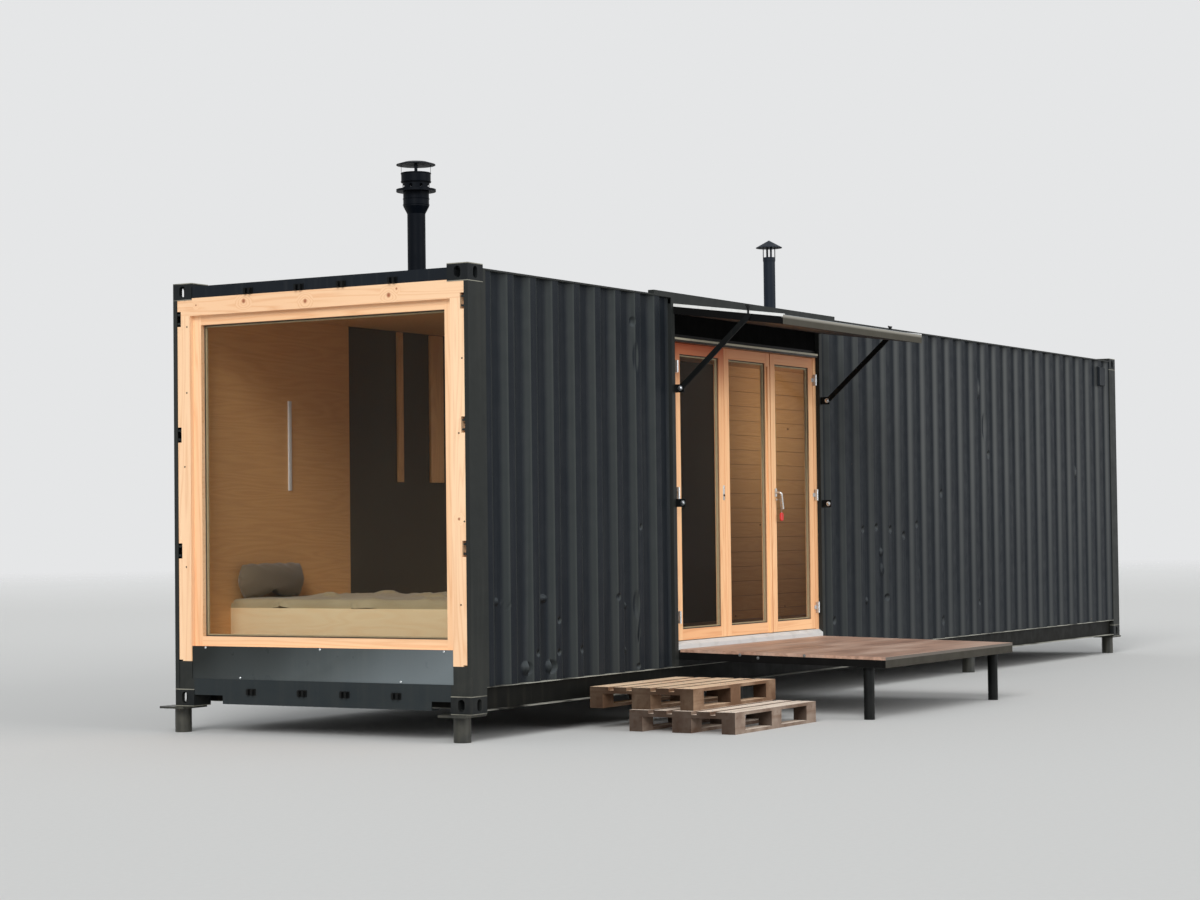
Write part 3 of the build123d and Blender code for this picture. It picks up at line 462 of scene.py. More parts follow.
def chalk_and_light_folds(look, near, far):
    """Painted highlight over a little chalking on the slopes of the folds, palest at the outer bend, and painted
    highlight and shade in the dents.

    The painted highlight is paler on the long stretch of wall beyond the entrance, where the slopes catch more light.
    """
    across, along, up = (look.along("True Normal", axis) for axis in "XYZ")
    aslope = look.add("Math", (look.add("Math", (across, along), operation="MULTIPLY"),), operation="ABSOLUTE")
    aslope = look.add("MapRange", (aslope, 0.12, 0.34))
    # Depth in the fold, from the inner bend to the outer one, on the front and on the back wall
    depth = look.add("Math", (look.along("place", "Y"), at(y=CONTAINER_MIDDLE).y), operation="SUBTRACT")
    depth = look.add("Math", (depth,), operation="ABSOLUTE")
    outward = look.add("MapRange", (depth, INNER_BEND * MM, OUTER_BEND * MM))
    # Painted highlight along the slope: it rises from the inner bend to the outer bend, and beyond the entrance it
    # peaks mid-slope
    near_line = look.add("Math", (look.add("MapRange", (outward, 0.08, 0.4, 0.0, 0.6)),
                                  look.add("MapRange", (outward, 0.75, 0.95, 0.0, 0.4))), operation="ADD")
    far_line = look.add("Math", (look.add("MapRange", (outward, 0.05, 0.4)),
                                 look.add("MapRange", (outward, 0.6, 0.95, 0.0, 0.7))), operation="SUBTRACT")
    higher = look.add("MapRange", (look.along("place", "Z"), at(z=700.0).z, at(z=1700.0).z, 0.7, 1.0))
    far_line = look.add("Math", (far_line, higher), operation="MULTIPLY")
    far_part = look.add("MapRange", (look.along("place", "X"), at(5000.0).x, at(7000.0).x))
    line = look.add("Mix", {0: far_part, 2: near_line, 3: far_line}, data_type="FLOAT")
    pale = look.add("Mix", {0: far_part, 6: tone(near), 7: tone(far)}, 2, data_type="RGBA")
    look.lay(look.add("Math", (aslope, line), operation="MULTIPLY"), pale)
    # Painted highlight on the lower half of a dent, which looks up, and painted shade on its upper half and on all
    # else that looks down
    looks_up = look.add("MapRange", (up, 0.05, 0.4, 0.0, 0.8))
    upright = look.add("MapRange", (up, 0.5, 0.6, 1.0, 0.0))
    look.lay(look.add("Math", (looks_up, upright), operation="MULTIPLY"), "#43484b")
    look.lay(up, "#0a0b0c", -0.05, -0.4, 0.0, 0.7)


def zinc(name, bright, dull, roughness):
    """Zinc on steel: metal with crystals about 9 mm wide and a grey bloom."""
    look = Finish(name, bright, roughness, 1.0)
    crystal = look.add("TexVoronoi", {"Vector": look.coords, "Scale": 110.0}, "Color")
    bloom = look.noise(12.0, 4.0)
    look.lay(look.add("Math", (look.add("SeparateColor", (crystal,)), bloom), operation="MULTIPLY"), dull)
    look.rough(bloom, roughness - 0.08, roughness + 0.14)
    return look


def softwood(name, pale, deep, run, make_rails, knots=(), gloss=0.5):
    """Planed softwood: growth rings, fibres and, where they are listed, knots."""
    look = Finish(name, pale, gloss=gloss)
    grain = look.grain(run, make_rails(look))
    # Rings show as long lines some 6 to 15 mm apart
    field = look.noise((0.5, 11.0, 11.0), 1.5, grain)
    nearest = None
    for place, radius in knots:
        apart = look.add("VectorMath", (look.coords, place), "Value", operation="DISTANCE")
        apart = look.add("Math", (apart, radius), operation="DIVIDE")
        nearest = look.add("Math", (nearest, apart), operation="MINIMUM") if nearest else apart
    if nearest:
        swirl = look.add("MapRange", (nearest, 0.0, 5.0, 0.35, 0.0))
        field = look.add("Math", (field, swirl), operation="ADD")
    rings = look.rings(field, 9.0)
    fibre = look.noise((9.0, 420.0, 420.0), 2.0, grain)
    board = look.add("MapRange", (look.noise((0.35, 2.5, 2.5), 0.0, grain), 0.3, 0.7, 0.0, 0.3))
    late_wood = look.add("MapRange", (rings, 0.22, 0.5, 0.0, 0.55))
    share = look.add("Math", (look.add("Math", (late_wood, fibre), operation="MULTIPLY"), board), operation="ADD")
    look.lay(share, deep)
    if nearest:
        look.lay(nearest, "#a8623c", 1.3, 0.7, 0.0, 0.9)
        look.lay(nearest, "#6e3b22", 0.5, 0.2, 0.0, 0.6)
    look.rough(fibre, 0.44, 0.58)
    look.bump((rings, 0.0002), (fibre, 0.00012))
    return look


def plywood(name, pale, deep, run, sheet_axis, sheet):
    """Rotary-cut plywood: broad wild grain, and thin dark joints between the sheets."""
    look = Finish(name, pale)
    grain = look.grain(run)
    # The veneer's figure is 30 to 80 mm wide and runs for most of a metre
    rings = look.rings(look.noise((0.8, 5.0, 5.0), 2.0, grain), 12.0)
    fibre = look.noise((12.0, 300.0, 300.0), 2.0, grain)
    figure = look.add("MapRange", (rings, 0.1, 0.5, 0.0, 0.7))
    look.lay(look.add("Math", (figure, fibre), operation="MULTIPLY"), deep)
    joint = look.joints(sheet_axis, sheet, 0.004)
    look.lay(joint, "#3c2a1c")
    look.rough(fibre, 0.5, 0.62)
    look.bump((joint, -0.002), (fibre, 0.0001))
    return look


def sawn_boards(name, fresh, grey, node):
    """Rough-sawn pallet boards: saw marks, checks, dirt, a tone for each board, and painted shade on sides and ends.
    """
    look = Finish(name, fresh, 0.8, gloss=0.2)
    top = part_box(node)[1].z
    x, y, z = look.add("SeparateXYZ", (look.coords,)).node.outputs
    along_x, along_y = look.add("CombineXYZ", (x, y, z)), look.add("CombineXYZ", (y, x, z))
    crosses = look.band("Z", top - 0.0445, top - 0.022)
    grain = look.add("Mix", {0: crosses, 4: along_x, 5: along_y}, 1, data_type="VECTOR")
    # Boards lie about 160 mm apart, and each has its own tone
    step = look.add("Math", (y, 0.1625), operation="SNAP")
    board = look.add("TexWhiteNoise", {"W": step}, "Value", noise_dimensions="1D")
    field = look.noise((1.5, 26.0, 26.0), 3.0, grain)
    fibre = look.noise((20.0, 260.0, 260.0), 3.0, grain)
    weather = look.noise(5.0, 5.0)
    share = look.add("Math", (look.add("MapRange", (weather, 0.35, 0.7)), board), operation="ADD")
    look.lay(look.add("Math", (share, 0.5), operation="MULTIPLY"), grey)
    look.lay(field, "#946e4e", 0.5, 0.7, 0.0, 0.45)
    # Checks are dark cracks along the grain, 1 to 2 mm wide
    look.lay(look.noise((1.2, 75.0, 75.0), 2.0, grain), "#33241a", 0.7, 0.76, 0.0, 0.8)
    # Painted shade on sides and undersides, over some splash stains; only the tops keep the pale colour
    side = look.add("MapRange", (look.along("Normal", "Z"), 0.9, 0.3, 0.0, 0.9))
    uneven = look.add("MapRange", (weather, 0.2, 0.6, 0.7, 1.0))
    look.lay(look.add("Math", (side, uneven), operation="MULTIPLY"), "#503019")
    # Painted shade: the ends that look towards the window end are darkest
    look.lay(look.along("Normal", "X"), "#1d1008", -0.5, -0.9, 0.0, 0.75)
    look.bump((field, 0.0012), (fibre, 0.0008))
    return look


def mottled(name, pale, deep, roughness, per_metre, detail=3.0):
    """A moulded or rolled surface with a faint bloom."""
    look = Finish(name, pale, roughness)
    look.lay(look.noise(per_metre, detail), deep)
    return look


def linen(name, pale, deep):
    """Washed linen: threads about 1 mm apart, drawn at 4 mm so that they show."""
    look = mottled(name, pale, deep, 0.85, 5.0, 4.0)
    warp, weft = (look.add("TexWave", {"Vector": look.coords, "Scale": 80.0, "Distortion": 1.5}, "Fac",
                           bands_direction=axis) for axis in "XY")
    look.put("Sheen Weight", 0.25)
    look.bump((look.add("Math", (warp, weft), operation="MULTIPLY"), 0.0004))
    return look


# What is laid over a finish

def rub_and_light_edges(look, pale, foot, *nodes):
    """Broken pale lines along the upper and lower edges of nodes: painted highlight where the edges catch the light,
    over dust and rubbed paint.
    """
    edge = 0.0
    for node in nodes:
        low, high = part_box(node)
        for first, last in ((high.z - 0.006, high.z + 0.001), (low.z - 0.001, low.z + foot)):
            edge = look.add("Math", (look.band("Z", first, last), edge), operation="MAXIMUM")
    broken = look.add("MapRange", (look.noise(3.0, 4.0), 0.3, 0.55))
    look.lay(look.add("Math", (edge, broken), operation="MULTIPLY"), pale)
    return look


def stain_and_shade_heads(look, low, high):
    """A deeper, more orange colour over the timber between two heights, strongest on the first leaf: a stain, and
    painted shade of the canopy.
    """
    first = look.band("X", at(2700.0).x, at(FOLDING_PANE_ENDS[0] + 77.0).x)
    strength = look.add("MapRange", (first, 0.0, 1.0, 0.6, 0.92))
    head = look.add("MapRange", (look.along("place", "Z"), low, high))
    look.lay(look.add("Math", (head, strength), operation="MULTIPLY"), "#9c3405")
    return look


def stain(look, side, level, colour):
    """A colour over what is LESS_THAN or GREATER_THAN a height; here it lays painted shade."""
    look.lay(look.add("Math", (look.along("place", "Z"), level), operation=side), colour)
    return look


def underseal_and_shade_backs(look, front="front_wall_linings"):
    """Near black over what lies outside the room: underseal on the undersides, and painted shade on the backs and
    edges in the gaps of the walls.
    """
    low = (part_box("window_frame")[0].x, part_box(front)[1].y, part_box("insulated_floor")[1].z)
    high = (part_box("blind_end_lining")[0].x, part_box("back_wall_lining")[0].y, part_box("ceiling")[0].z)
    inside = 1.0
    for axis, first, last in zip("XYZ", low, high):
        slab = look.band(axis, first - 0.0005, last + 0.0005)
        inside = look.add("Math", (slab, inside), operation="MULTIPLY")
    look.lay(look.add("Math", (1.0, inside), operation="SUBTRACT"), "#0b0b0c")
    return look


# Finishes, one function each; finish_of makes each once

made_finishes = {}


def finish_of(maker):
    """The material of a finish."""
    if maker not in made_finishes:
        look = maker()
        look.put("Base Color", look.colour)
        made_finishes[maker] = look.material
    return made_finishes[maker]


def wall_paint():
    """Alkyd enamel, rolled over the corrugated sheets: satin, blue-black, with soft broad highlights painted on the
    slopes of the folds, and painted highlight and shade in the dents.
    """
    return painted_steel("rolled_satin_enamel", "container", "container_worn", "#3b3d3d", 0.44, splash=0.15,
                         gloss=0.09, slopes=("container_slopes", "container_slopes_far"), streaks=0.25)


def post_paint():
    """The same enamel on posts and rails, where dust and handling have greyed it."""
    return painted_steel("worn_satin_enamel", "posts", "posts_worn", "#504f49", 0.48, streaks=0.15)


def rail_paint():
    """The enamel low down on rails: nearly black with road dirt, and pale along the edges with painted highlight and
    rubbed paint.
    """
    look = painted_steel("dirty_satin_enamel", "#0c0d0c", "#141412", "#302e27", 0.5, splash=0.15, gloss=0.08)
    return rub_and_light_edges(look, "#a5a49a", 0.006, "bottom_side_rails")


def casting_paint():
    """The posts' enamel on the castings, pale along their upper and lower edges: painted highlight, and paint rubbed
    by lifting gear.
    """
    look = painted_steel("rubbed_and_edge_lit_enamel", "#15181b", "#1f2223", "#45443e", 0.48, streaks=0.15)
    return rub_and_light_edges(look, "#8d8b7f", 0.005, "lower_castings", "upper_castings")


def sill_enamel():
    """The walls' enamel on the end sills, gone slate-grey in the spray from the ground."""
    return painted_steel("chalked_satin_enamel", "#262c2f", "#2e3335", "#45453f", 0.5, splash=0.15, gloss=0.1,
                         streaks=0.15)


def frame_enamel():
    """Brushed black-grey enamel on the deck's steel; its front faces are weathered and painted paler, as lit from the
    front.
    """
    return painted_steel("brushed_black_enamel", "#0a0a0a", "#121212", "#1c1b19", 0.55, front="#423f38", gloss=0.06)


def canopy_enamel():
    """The same enamel on the canopy's frame: its front face is bleached and painted paler, as lit from the front, and
    palest along the top.
    """
    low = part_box("canopy_frame")[0]
    top = low.z + (CANOPY_THICKNESS - CANOPY_SKIN) * MM
    look = painted_steel("bleached_and_front_lit_enamel", "#0a0a0a", "#121212", "#1c1b19", 0.55, front="#4a473f", gloss=0.06)
    upper = look.add("MapRange", (look.along("place", "Z"), top - 0.024, top - 0.008, 0.0, 0.65))
    front = look.add("Math", (look.along("place", "Y"), low.y + 0.01), operation="LESS_THAN")
    look.lay(look.add("Math", (upper, front), operation="MULTIPLY"), "#b1ada3")
    return look


def strut_enamel():
    """Black enamel on struts and brackets, which stay darker than the frames."""
    return painted_steel("black_enamel", "#090b0b", "#111314", "#252421", 0.45)


def pile_enamel():
    """Dark enamel on the piles, with a soft sheen; earth clings to their feet."""
    return painted_steel("pile_enamel", "#1d2022", "#33342f", "#5f5b4e", 0.38, gloss=0.3)


def coated_sheet():
    """Coil-coated steel sheet: even blue-grey coat with a soft sheen, and a painted reflection across it."""
    look = painted_steel("coil_coated_sheet", "sheet_trim", "sheet_trim", "#77776f", 0.32, splash=0.1, gloss=0.15,
                         streaks=0.06, chips=0.0)
    # Painted reflection: pale towards the entrance side and the lower edge, dark under the upper corner on the other
    # side
    low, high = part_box("window_apron")
    across = look.add("MapRange", (look.along("place", "Y"), high.y, low.y))
    down = look.add("MapRange", (look.along("place", "Z"), high.z, low.z, -0.12, 0.12))
    wander = look.add("MapRange", (look.noise((1.0, 1.6, 1.0), 1.0), 0.3, 0.7, -0.1, 0.1))
    share = look.add("Math", (look.add("Math", (across, down), operation="ADD"), wander), operation="ADD")
    look.lay(share, "#242726", 0.45, 0.0)
    look.lay(share, "#6b7376", 0.5, 1.0)
    return look


def pale_flashing():
    """Coil-coated flashing over the doors: cream, with painted shade in dark brown over its lower half."""
    look = painted_steel("cream_coated_flashing", "#c3bca6", "#aaa38e", "#8f8878", 0.4, splash=0.0, gloss=0.3)
    low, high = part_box("drip_strip")
    # Painted shade: the lower half of the strip is painted dark brown
    return stain(look, "LESS_THAN", (low.z + high.z) / 2, "#2a1c12")


def edge_coat():
    """Coil-coated steel strip on the canopy's edges: nearly white, slightly stained."""
    return painted_steel("white_coated_strip", "#f4f4f2", "#e4e4e1", "#b5b2a8", 0.4, splash=0.0, gloss=0.5)


def stove_paint():
    """Heat-proof matt paint on the stove's flue."""
    return painted_steel("matt_stove_paint", "#02060c", "#080d15", "#1d2024", 0.5, splash=0.0, gloss=0.08)


def vent_paint():
    """Blue-grey coat of the vent pipe and its cap."""
    return painted_steel("vent_pipe_coat", "#141a24", "#1d242e", "#33363a", 0.5, splash=0.0, gloss=0.15)


def black_board():
    """Black fibre board over the doors, painted near black as the canopy's shade falls on it: nearly no sheen."""
    return painted_steel("black_board_in_canopy_shade", "#050505", "#0a0a0a", "#1a1918", 0.8, splash=0.0, gloss=0.03)


def bright_zinc():
    """Bright zinc plating on hinges, bolts and screws."""
    return zinc("bright_zinc_plate", "#d9dcde", "#a9adb0", 0.3)


def dull_zinc():
    """Zinc plating that has gone grey in the weather."""
    return zinc("weathered_zinc_plate", "#8d9091", "#6b6e6f", 0.5)


def dip_zinc():
    """Hot-dipped zinc sheet on the canopy: gone dull in the weather, with faint crystals."""
    return zinc("hot_dip_zinc", "#aeb2b4", "#8d9194", 0.7)


def satin_steel():
    """Brushed stainless steel of the door lever."""
    return zinc("brushed_stainless_steel", "#dadad8", "#bfbfbc", 0.26)


def sill_sheet():
    """Anodised aluminium threshold: pale, slightly stained, with brushing along its length."""
    look = Finish("anodised_aluminium", "#d9dad8", 0.42)
    brushing = look.noise((6.0, 900.0, 900.0), 2.0)
    look.lay(brushing, "#c6c8c8")
    look.lay(look.noise((7.0, 14.0, 14.0), 4.0), "#9c9a92", 0.52, 0.75, 0.0, 0.4)
    look.rough(brushing, 0.34, 0.48)
    return look


def window_pine():
    """Oiled pine of the big window: pale orange, with knots where the real boards have them."""
    head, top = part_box("window_sash")[1].z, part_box("window_frame")[1].z
    knots = [(at(4.0, y, z), radius * MM) for y, z, radius in WINDOW_KNOTS]
    return softwood("oiled_pine_frame", "pine", "pine_deep", "Y", lambda look: look.band("Z", head, top + 0.01), knots)


def sash_pine():
    """The same pine on the sash, whose rails run between its stiles."""
    low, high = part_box("window_glass")
    return softwood("oiled_pine_sash", "sash_pine", "pine_deep", "Y", lambda look: look.band("Y", low.y, high.y))


def stained_pine(name, node, *seams):
    """Pine with a thin orange-brown stain, for leaves whose rails run between their stiles."""
    low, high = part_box(node)
    ends, stile = [low.x, *seams, high.x], 80 * MM

    def rails(look):
        spans = [look.band("X", first + stile, last - stile) for first, last in zip(ends, ends[1:])]
        return look.add("Math", spans, operation="MAXIMUM") if seams else spans[0]

    look = softwood(name, "door_pine", "door_pine_deep", "X", rails, gloss=0.2)
    # Painted shade of the canopy, with a deeper stain, over the heads
    return stain_and_shade_heads(look, high.z - 0.4, high.z)


def leaf_pine():
    """The doors' pine on the two folding leaves."""
    return stained_pine("stained_pine_folding_leaves", "folding_leaves", at(FOLDING_SEAM).x)


def entrance_pine():
    """The doors' pine on the entrance leaf."""
    return stained_pine("stained_pine_entrance_leaf", "entrance_leaf")


def door_frame_pine():
    """Stained pine of the door frame, with an upright grain in the jambs."""
    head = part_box("folding_leaves")[1].z
    look = softwood("stained_pine_door_frame", "door_pine", "door_pine_deep", "X",
                    lambda look: look.band("Z", head, head + 1.0), gloss=0.2)
    # Painted shade of the canopy, with a deeper stain, over the head
    stain_and_shade_heads(look, head - 0.1, head + 0.02)
    # The head is painted black above the drip strip, and this near black is also painted shade under the canopy
    return stain(look, "GREATER_THAN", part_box("drip_strip")[1].z - 0.002, "#060505")


def wall_plywood():
    """Birch-faced plywood of the linings, in sheets 1220 mm wide, oiled to a warm brown."""
    return underseal_and_shade_backs(plywood("oiled_lining_plywood", "#e6b277", "#bd8350", "Z", "X", 1.22))


def bed_plywood():
    """Paler plywood of the bed."""
    return plywood("bare_bed_plywood", "#ffe6b4", "#f7cf98", "Y", "X", 9.0)


def floor_wood():
    """Floor boards, and the container's own floor under them."""
    return underseal_and_shade_backs(plywood("floor_boards_oiled", "#8d6b48", "#64482c", "X", "Y", 0.13), "drip_strip")


def wall_boards():
    """Back wall: plywood beside the bed, a part beyond it painted dark as shade, then level boards 140 mm wide."""
    look = Finish("lining_boards", "#e9b474", 0.55)
    grain = look.grain("X")
    rings = look.rings(look.noise((0.7, 9.0, 9.0), 1.5, grain), 10.0)
    fibre = look.noise((9.0, 300.0, 300.0), 2.0, grain)
    look.lay(look.add("Math", (rings, fibre), operation="MULTIPLY"), "#ba7d48")
    nook, dark = at(BED_NOOK_END).x, at(SHADED_PART_END).x
    boarded = look.band("X", dark, dark + 20.0)
    # Painted shade: the part beyond the bed nook is painted dark, as the room's depth lies in shade
    look.lay(look.band("X", nook, dark), "#473b24")
    groove = look.add("Math", (look.joints("Z", 0.14, 0.003), boarded), operation="MULTIPLY")
    look.lay(groove, "#7d5735")
    stretched = look.add("Mapping", {"Vector": look.coords, "Scale": (2.2, 1.0, 4.5)})
    cells = look.add("TexVoronoi", {"Vector": stretched, "Scale": 1.0}, "Distance")
    knots = look.add("MapRange", (cells, 0.06, 0.03, 0.0, 0.85))
    look.lay(look.add("Math", (knots, boarded), operation="MULTIPLY"), "#5a3620")
    look.bump((groove, -0.004), (fibre, 0.0001))
    return underseal_and_shade_backs(look)


def film_board():
    """Brown film-faced plywood: a hard phenolic skin, dusty, rubbed paler where feet go."""
    look = Finish("film_faced_plywood", "deck")
    rubbed = look.noise((1.1, 4.2, 4.2), 5.0)
    look.lay(look.noise((1.6, 34.0, 34.0), 4.0), "deck_deep", 0.3, 0.7)
    look.lay(rubbed, "#cdb3a1", 0.45, 0.7, 0.0, 0.7)
    look.lay(rubbed, "#76584a", 0.42, 0.25, 0.0, 0.6)
    # The cut edges that look to the front show the plies, weathered grey and painted paler as lit from the front, and
    # the underside is painted nearly black as shade
    look.lay(look.along("Normal", "Y"), "#5f564d", -0.85, -0.98)
    look.lay(look.along("Normal", "Z"), "#2d1f18", -0.7, -0.95)
    look.rough(rubbed, 0.42, 0.62, 0.4)
    # The film has a fine mesh print
    look.bump((look.noise(190.0, 1.0), 0.0001))
    return look


def upper_boards():
    """Sawn spruce of the upper pallet."""
    return sawn_boards("sawn_spruce_upper", "#ffe3c2", "#f2cba8", "upper_pallet")


def lower_boards():
    """Sawn spruce of the lower pallet, bleached paler."""
    return sawn_boards("sawn_spruce_lower", "#fff0de", "#f9e6d4", "lower_pallet")


def clear_glass():
    """Float glass of a sealed unit: thin sheets, slightly dark and green, with sharp reflections."""
    look = Finish("float_glass", "#0c0f0c", 0.02)
    look.put("IOR", 1.45)
    look.put("Alpha", 0.06)
    # The rollers leave faint bands, and rain and dust a thin bloom on the sheets
    look.lay(look.noise((2.5, 2.5, 0.9), 4.0), "#2a2a22", 0.45, 0.75)
    look.bump((look.noise(1.2, 0.0), 0.0002))
    return look


def spacer_bar():
    """Warm-edge spacer of a sealed unit: pale grey-beige, dull."""
    return mottled("spacer_bar", "#bba985", "#a5926c", 0.6, 20.0, 2.0)


def black_rubber():
    """EPDM seal: matt black with a faint grey bloom."""
    return mottled("epdm_rubber", "#101112", "#232425", 0.65, 40.0)


def red_plastic():
    """Moulded red plastic of the key tag."""
    return mottled("moulded_red_plastic", "#e52a20", "#bd211a", 0.4, 90.0)


def bed_linen():
    """Washed linen of the cover: sand-coloured."""
    return linen("washed_linen_cover", "#c4b48d", "#a29169")


def pillow_linen():
    """Washed linen of the pillow: grey-brown."""
    return linen("washed_linen_pillow", "#83735a", "#635640")


def studio_floor():
    """Pale matt floor that fades into the background far away."""
    look = mottled("studio_floor_paint", "#dcdcda", "#d7d7d5", 0.9, 30.0)
    look.put("Specular IOR Level", 0.1)
    far = look.add("VectorMath", (look.coords,), "Value", operation="LENGTH")
    far = look.add("MapRange", (far, 26.0, 75.0))
    mixed = look.add("MixShader", (far, look.shader.outputs[0], look.add("BsdfTransparent")))
    plug(look.tree, look.tree.nodes["Material Output"].inputs["Surface"], mixed)
    return look


# Pieces that repeat

def pan_screw(radius):
    """A pan-head screw with a washer face and a cross recess."""
    head = start_disc("screw", radius, radius * 0.5, 20)
    return inset_faces(head, upward, (radius * 0.25, radius * 0.18), (radius * 0.35, 0.0),
                       (radius * 0.12, -radius * 0.3))


def hex_bolt(half):
    """A hexagon bolt head on its washer."""
    washer = start_disc("washer", half * 1.7, half * 0.22, 24)
    head = inset_faces(start_disc("head", half * 1.15, half * 0.9, 6), upward, (half * 0.16, half * 0.1))
    return join([washer, head], "bolt")


def sealed_pane(name, low, high, axis, body):
    """Two sheets of glass with a spacer bar between them and a black seal round the outer one."""
    sizes = bpy.context.scene.cabin_sizes
    deep = high[axis] - low[axis]

    def between(start, stop):
        margin = Vector((PANE_MARGIN,) * 3)
        first, last = Vector(low) + margin, Vector(high) - margin
        first[axis], last[axis] = low[axis] + start, low[axis] + stop
        return first, last

    sheets = [round_edges(start_block(name + "_sheet", *between(start, start + sizes.glass)), 0.0008, 1)
              for start in (0.0, deep - sizes.glass)]
    pane = give(join(sheets, name), clear_glass, "pane", body)
    room = between(sizes.glass + PANE_MARGIN, deep - sizes.glass - PANE_MARGIN)
    spacer = ring(name + "_spacer", *room, axis, sizes.spacer, 0.001)
    give(spacer, spacer_bar, "galvanised_steel", body)
    seal = ring(name + "_seal", *between(-0.003, -CLEAR), axis, sizes.seal, 0.001)
    give(seal, black_rubber, "black_panel", body)
    return pane


# Operators

class CABIN_OT_shell(bpy.types.Operator):
    """Finishes the container's steel shell"""
    bl_idname = "cabin.shell"
    bl_label = "Container shell"

    def execute(self, context):
        dress(casting_paint, "upper_castings", "lower_castings")
        dress(post_paint, "corner_posts", "top_side_rails", "opening_posts", "opening_header")
        dress(rail_paint, "bottom_side_rails", "cross_members")
        dress(wall_paint, "back_wall", "blind_end_wall", "roof_panel", "wall_vents", "end_headers")
        dress(sill_enamel, "end_sills")
        dress(strut_enamel, "opening_sill_beam", "bar_keepers")
        dress(pile_enamel, "screw_piles")
        self.dented_wall("front_wall_left", "dented_wall_left", LEFT_DENTS)
        self.dented_wall("front_wall_right", "dented_wall_right", RIGHT_DENTS)
        return {"FINISHED"}

    def dented_wall(self, node, name, marks):
        """A copy of a wall with dents pushed in; the sheet is cut finer round each one first."""
        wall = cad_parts[node].copy()
        wall.data = wall.data.copy()
        bpy.context.collection.objects.link(wall)
        wall.name = wall.data.name = name
        edit(wall)
        bpy.ops.mesh.remove_doubles(threshold=0.0001)
        bpy.ops.mesh.dissolve_limited(angle_limit=math.radians(0.5))
        spots = [(at(x, 0, z), across * MM, tall * MM, depth * MM) for x, z, across, tall, depth in marks]
        for spot, across, tall, depth in spots:
            for axis, reach in ((0, across), (2, tall)):
                for way in (-1, 1):
                    place, direction = spot.copy(), Vector((0, 0, 0))
                    place[axis] += way * reach
                    direction[axis] = 1.0
                    self.pick_round(wall, spot, across, tall, 0.0)
                    bpy.ops.mesh.bisect(plane_co=place, plane_no=direction)
            self.pick_round(wall, spot, across, tall, 0.001)
            bpy.ops.mesh.subdivide(number_cuts=9)
        close_edit()
        air, close = 0.0015, 0.012
        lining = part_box("front_wall_linings")[0].y - air
        for vertex in wall.data.vertices:
            for spot, across, tall, depth in spots:
                away = ((vertex.co.x - spot.x) / across) ** 2 + ((vertex.co.z - spot.z) / tall) ** 2
                if away < 1:
                    # A fold that is near the lining bulges out, and any other is pushed in
                    room = min(depth, lining - vertex.co.y) if vertex.co.y < lining - close else -depth
                    vertex.co.y += room * (1 - away) ** 1.5
        bpy.ops.mesh.customdata_custom_splitnormals_clear()
        give(wall, wall_paint, "container_paint", angle=25)
        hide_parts(node)

    def pick_round(self, wall, spot, across, tall, margin):
        """Selects the faces that reach into the box round a dent."""
        mesh = bmesh.from_edit_mesh(wall.data)
        for face in mesh.faces:
            wide = [vertex.co.x for vertex in face.verts]
            high = [vertex.co.z for vertex in face.verts]
            face.select_set(min(wide) < spot.x + across - margin and max(wide) > spot.x - across + margin
                            and min(high) < spot.z + tall - margin and max(high) > spot.z - tall + margin)
        bmesh.update_edit_mesh(wall.data)


class CABIN_OT_window(bpy.types.Operator):
    """Finishes the window end: timber, sealed pane, apron and their screws"""
    bl_idname = "cabin.window"
    bl_label = "Window end"

    def execute(self, context):
        screw = context.scene.cabin_sizes.screw
        dress(window_pine, "window_frame", "window_upstand")
        dress(sash_pine, "window_sash")
        dress(coated_sheet, "window_apron")
        pane = sealed_pane("window_pane", *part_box("window_glass"), 0, BODY)
        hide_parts("window_glass")
        for node, name, size, marks, finish, slot in (
                ("window_frame", "window_frame_screws", 0.8, WINDOW_SCREWS, strut_enamel, "dark_steel"),
                ("window_apron", "apron_screws", 1.2, APRON_SCREWS, bright_zinc, "galvanised_steel")):
            places = on_end(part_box(node)[0].x, marks)
            give(copies(pan_screw(screw * size), name, places), finish, slot)
        return {"FINISHED"}


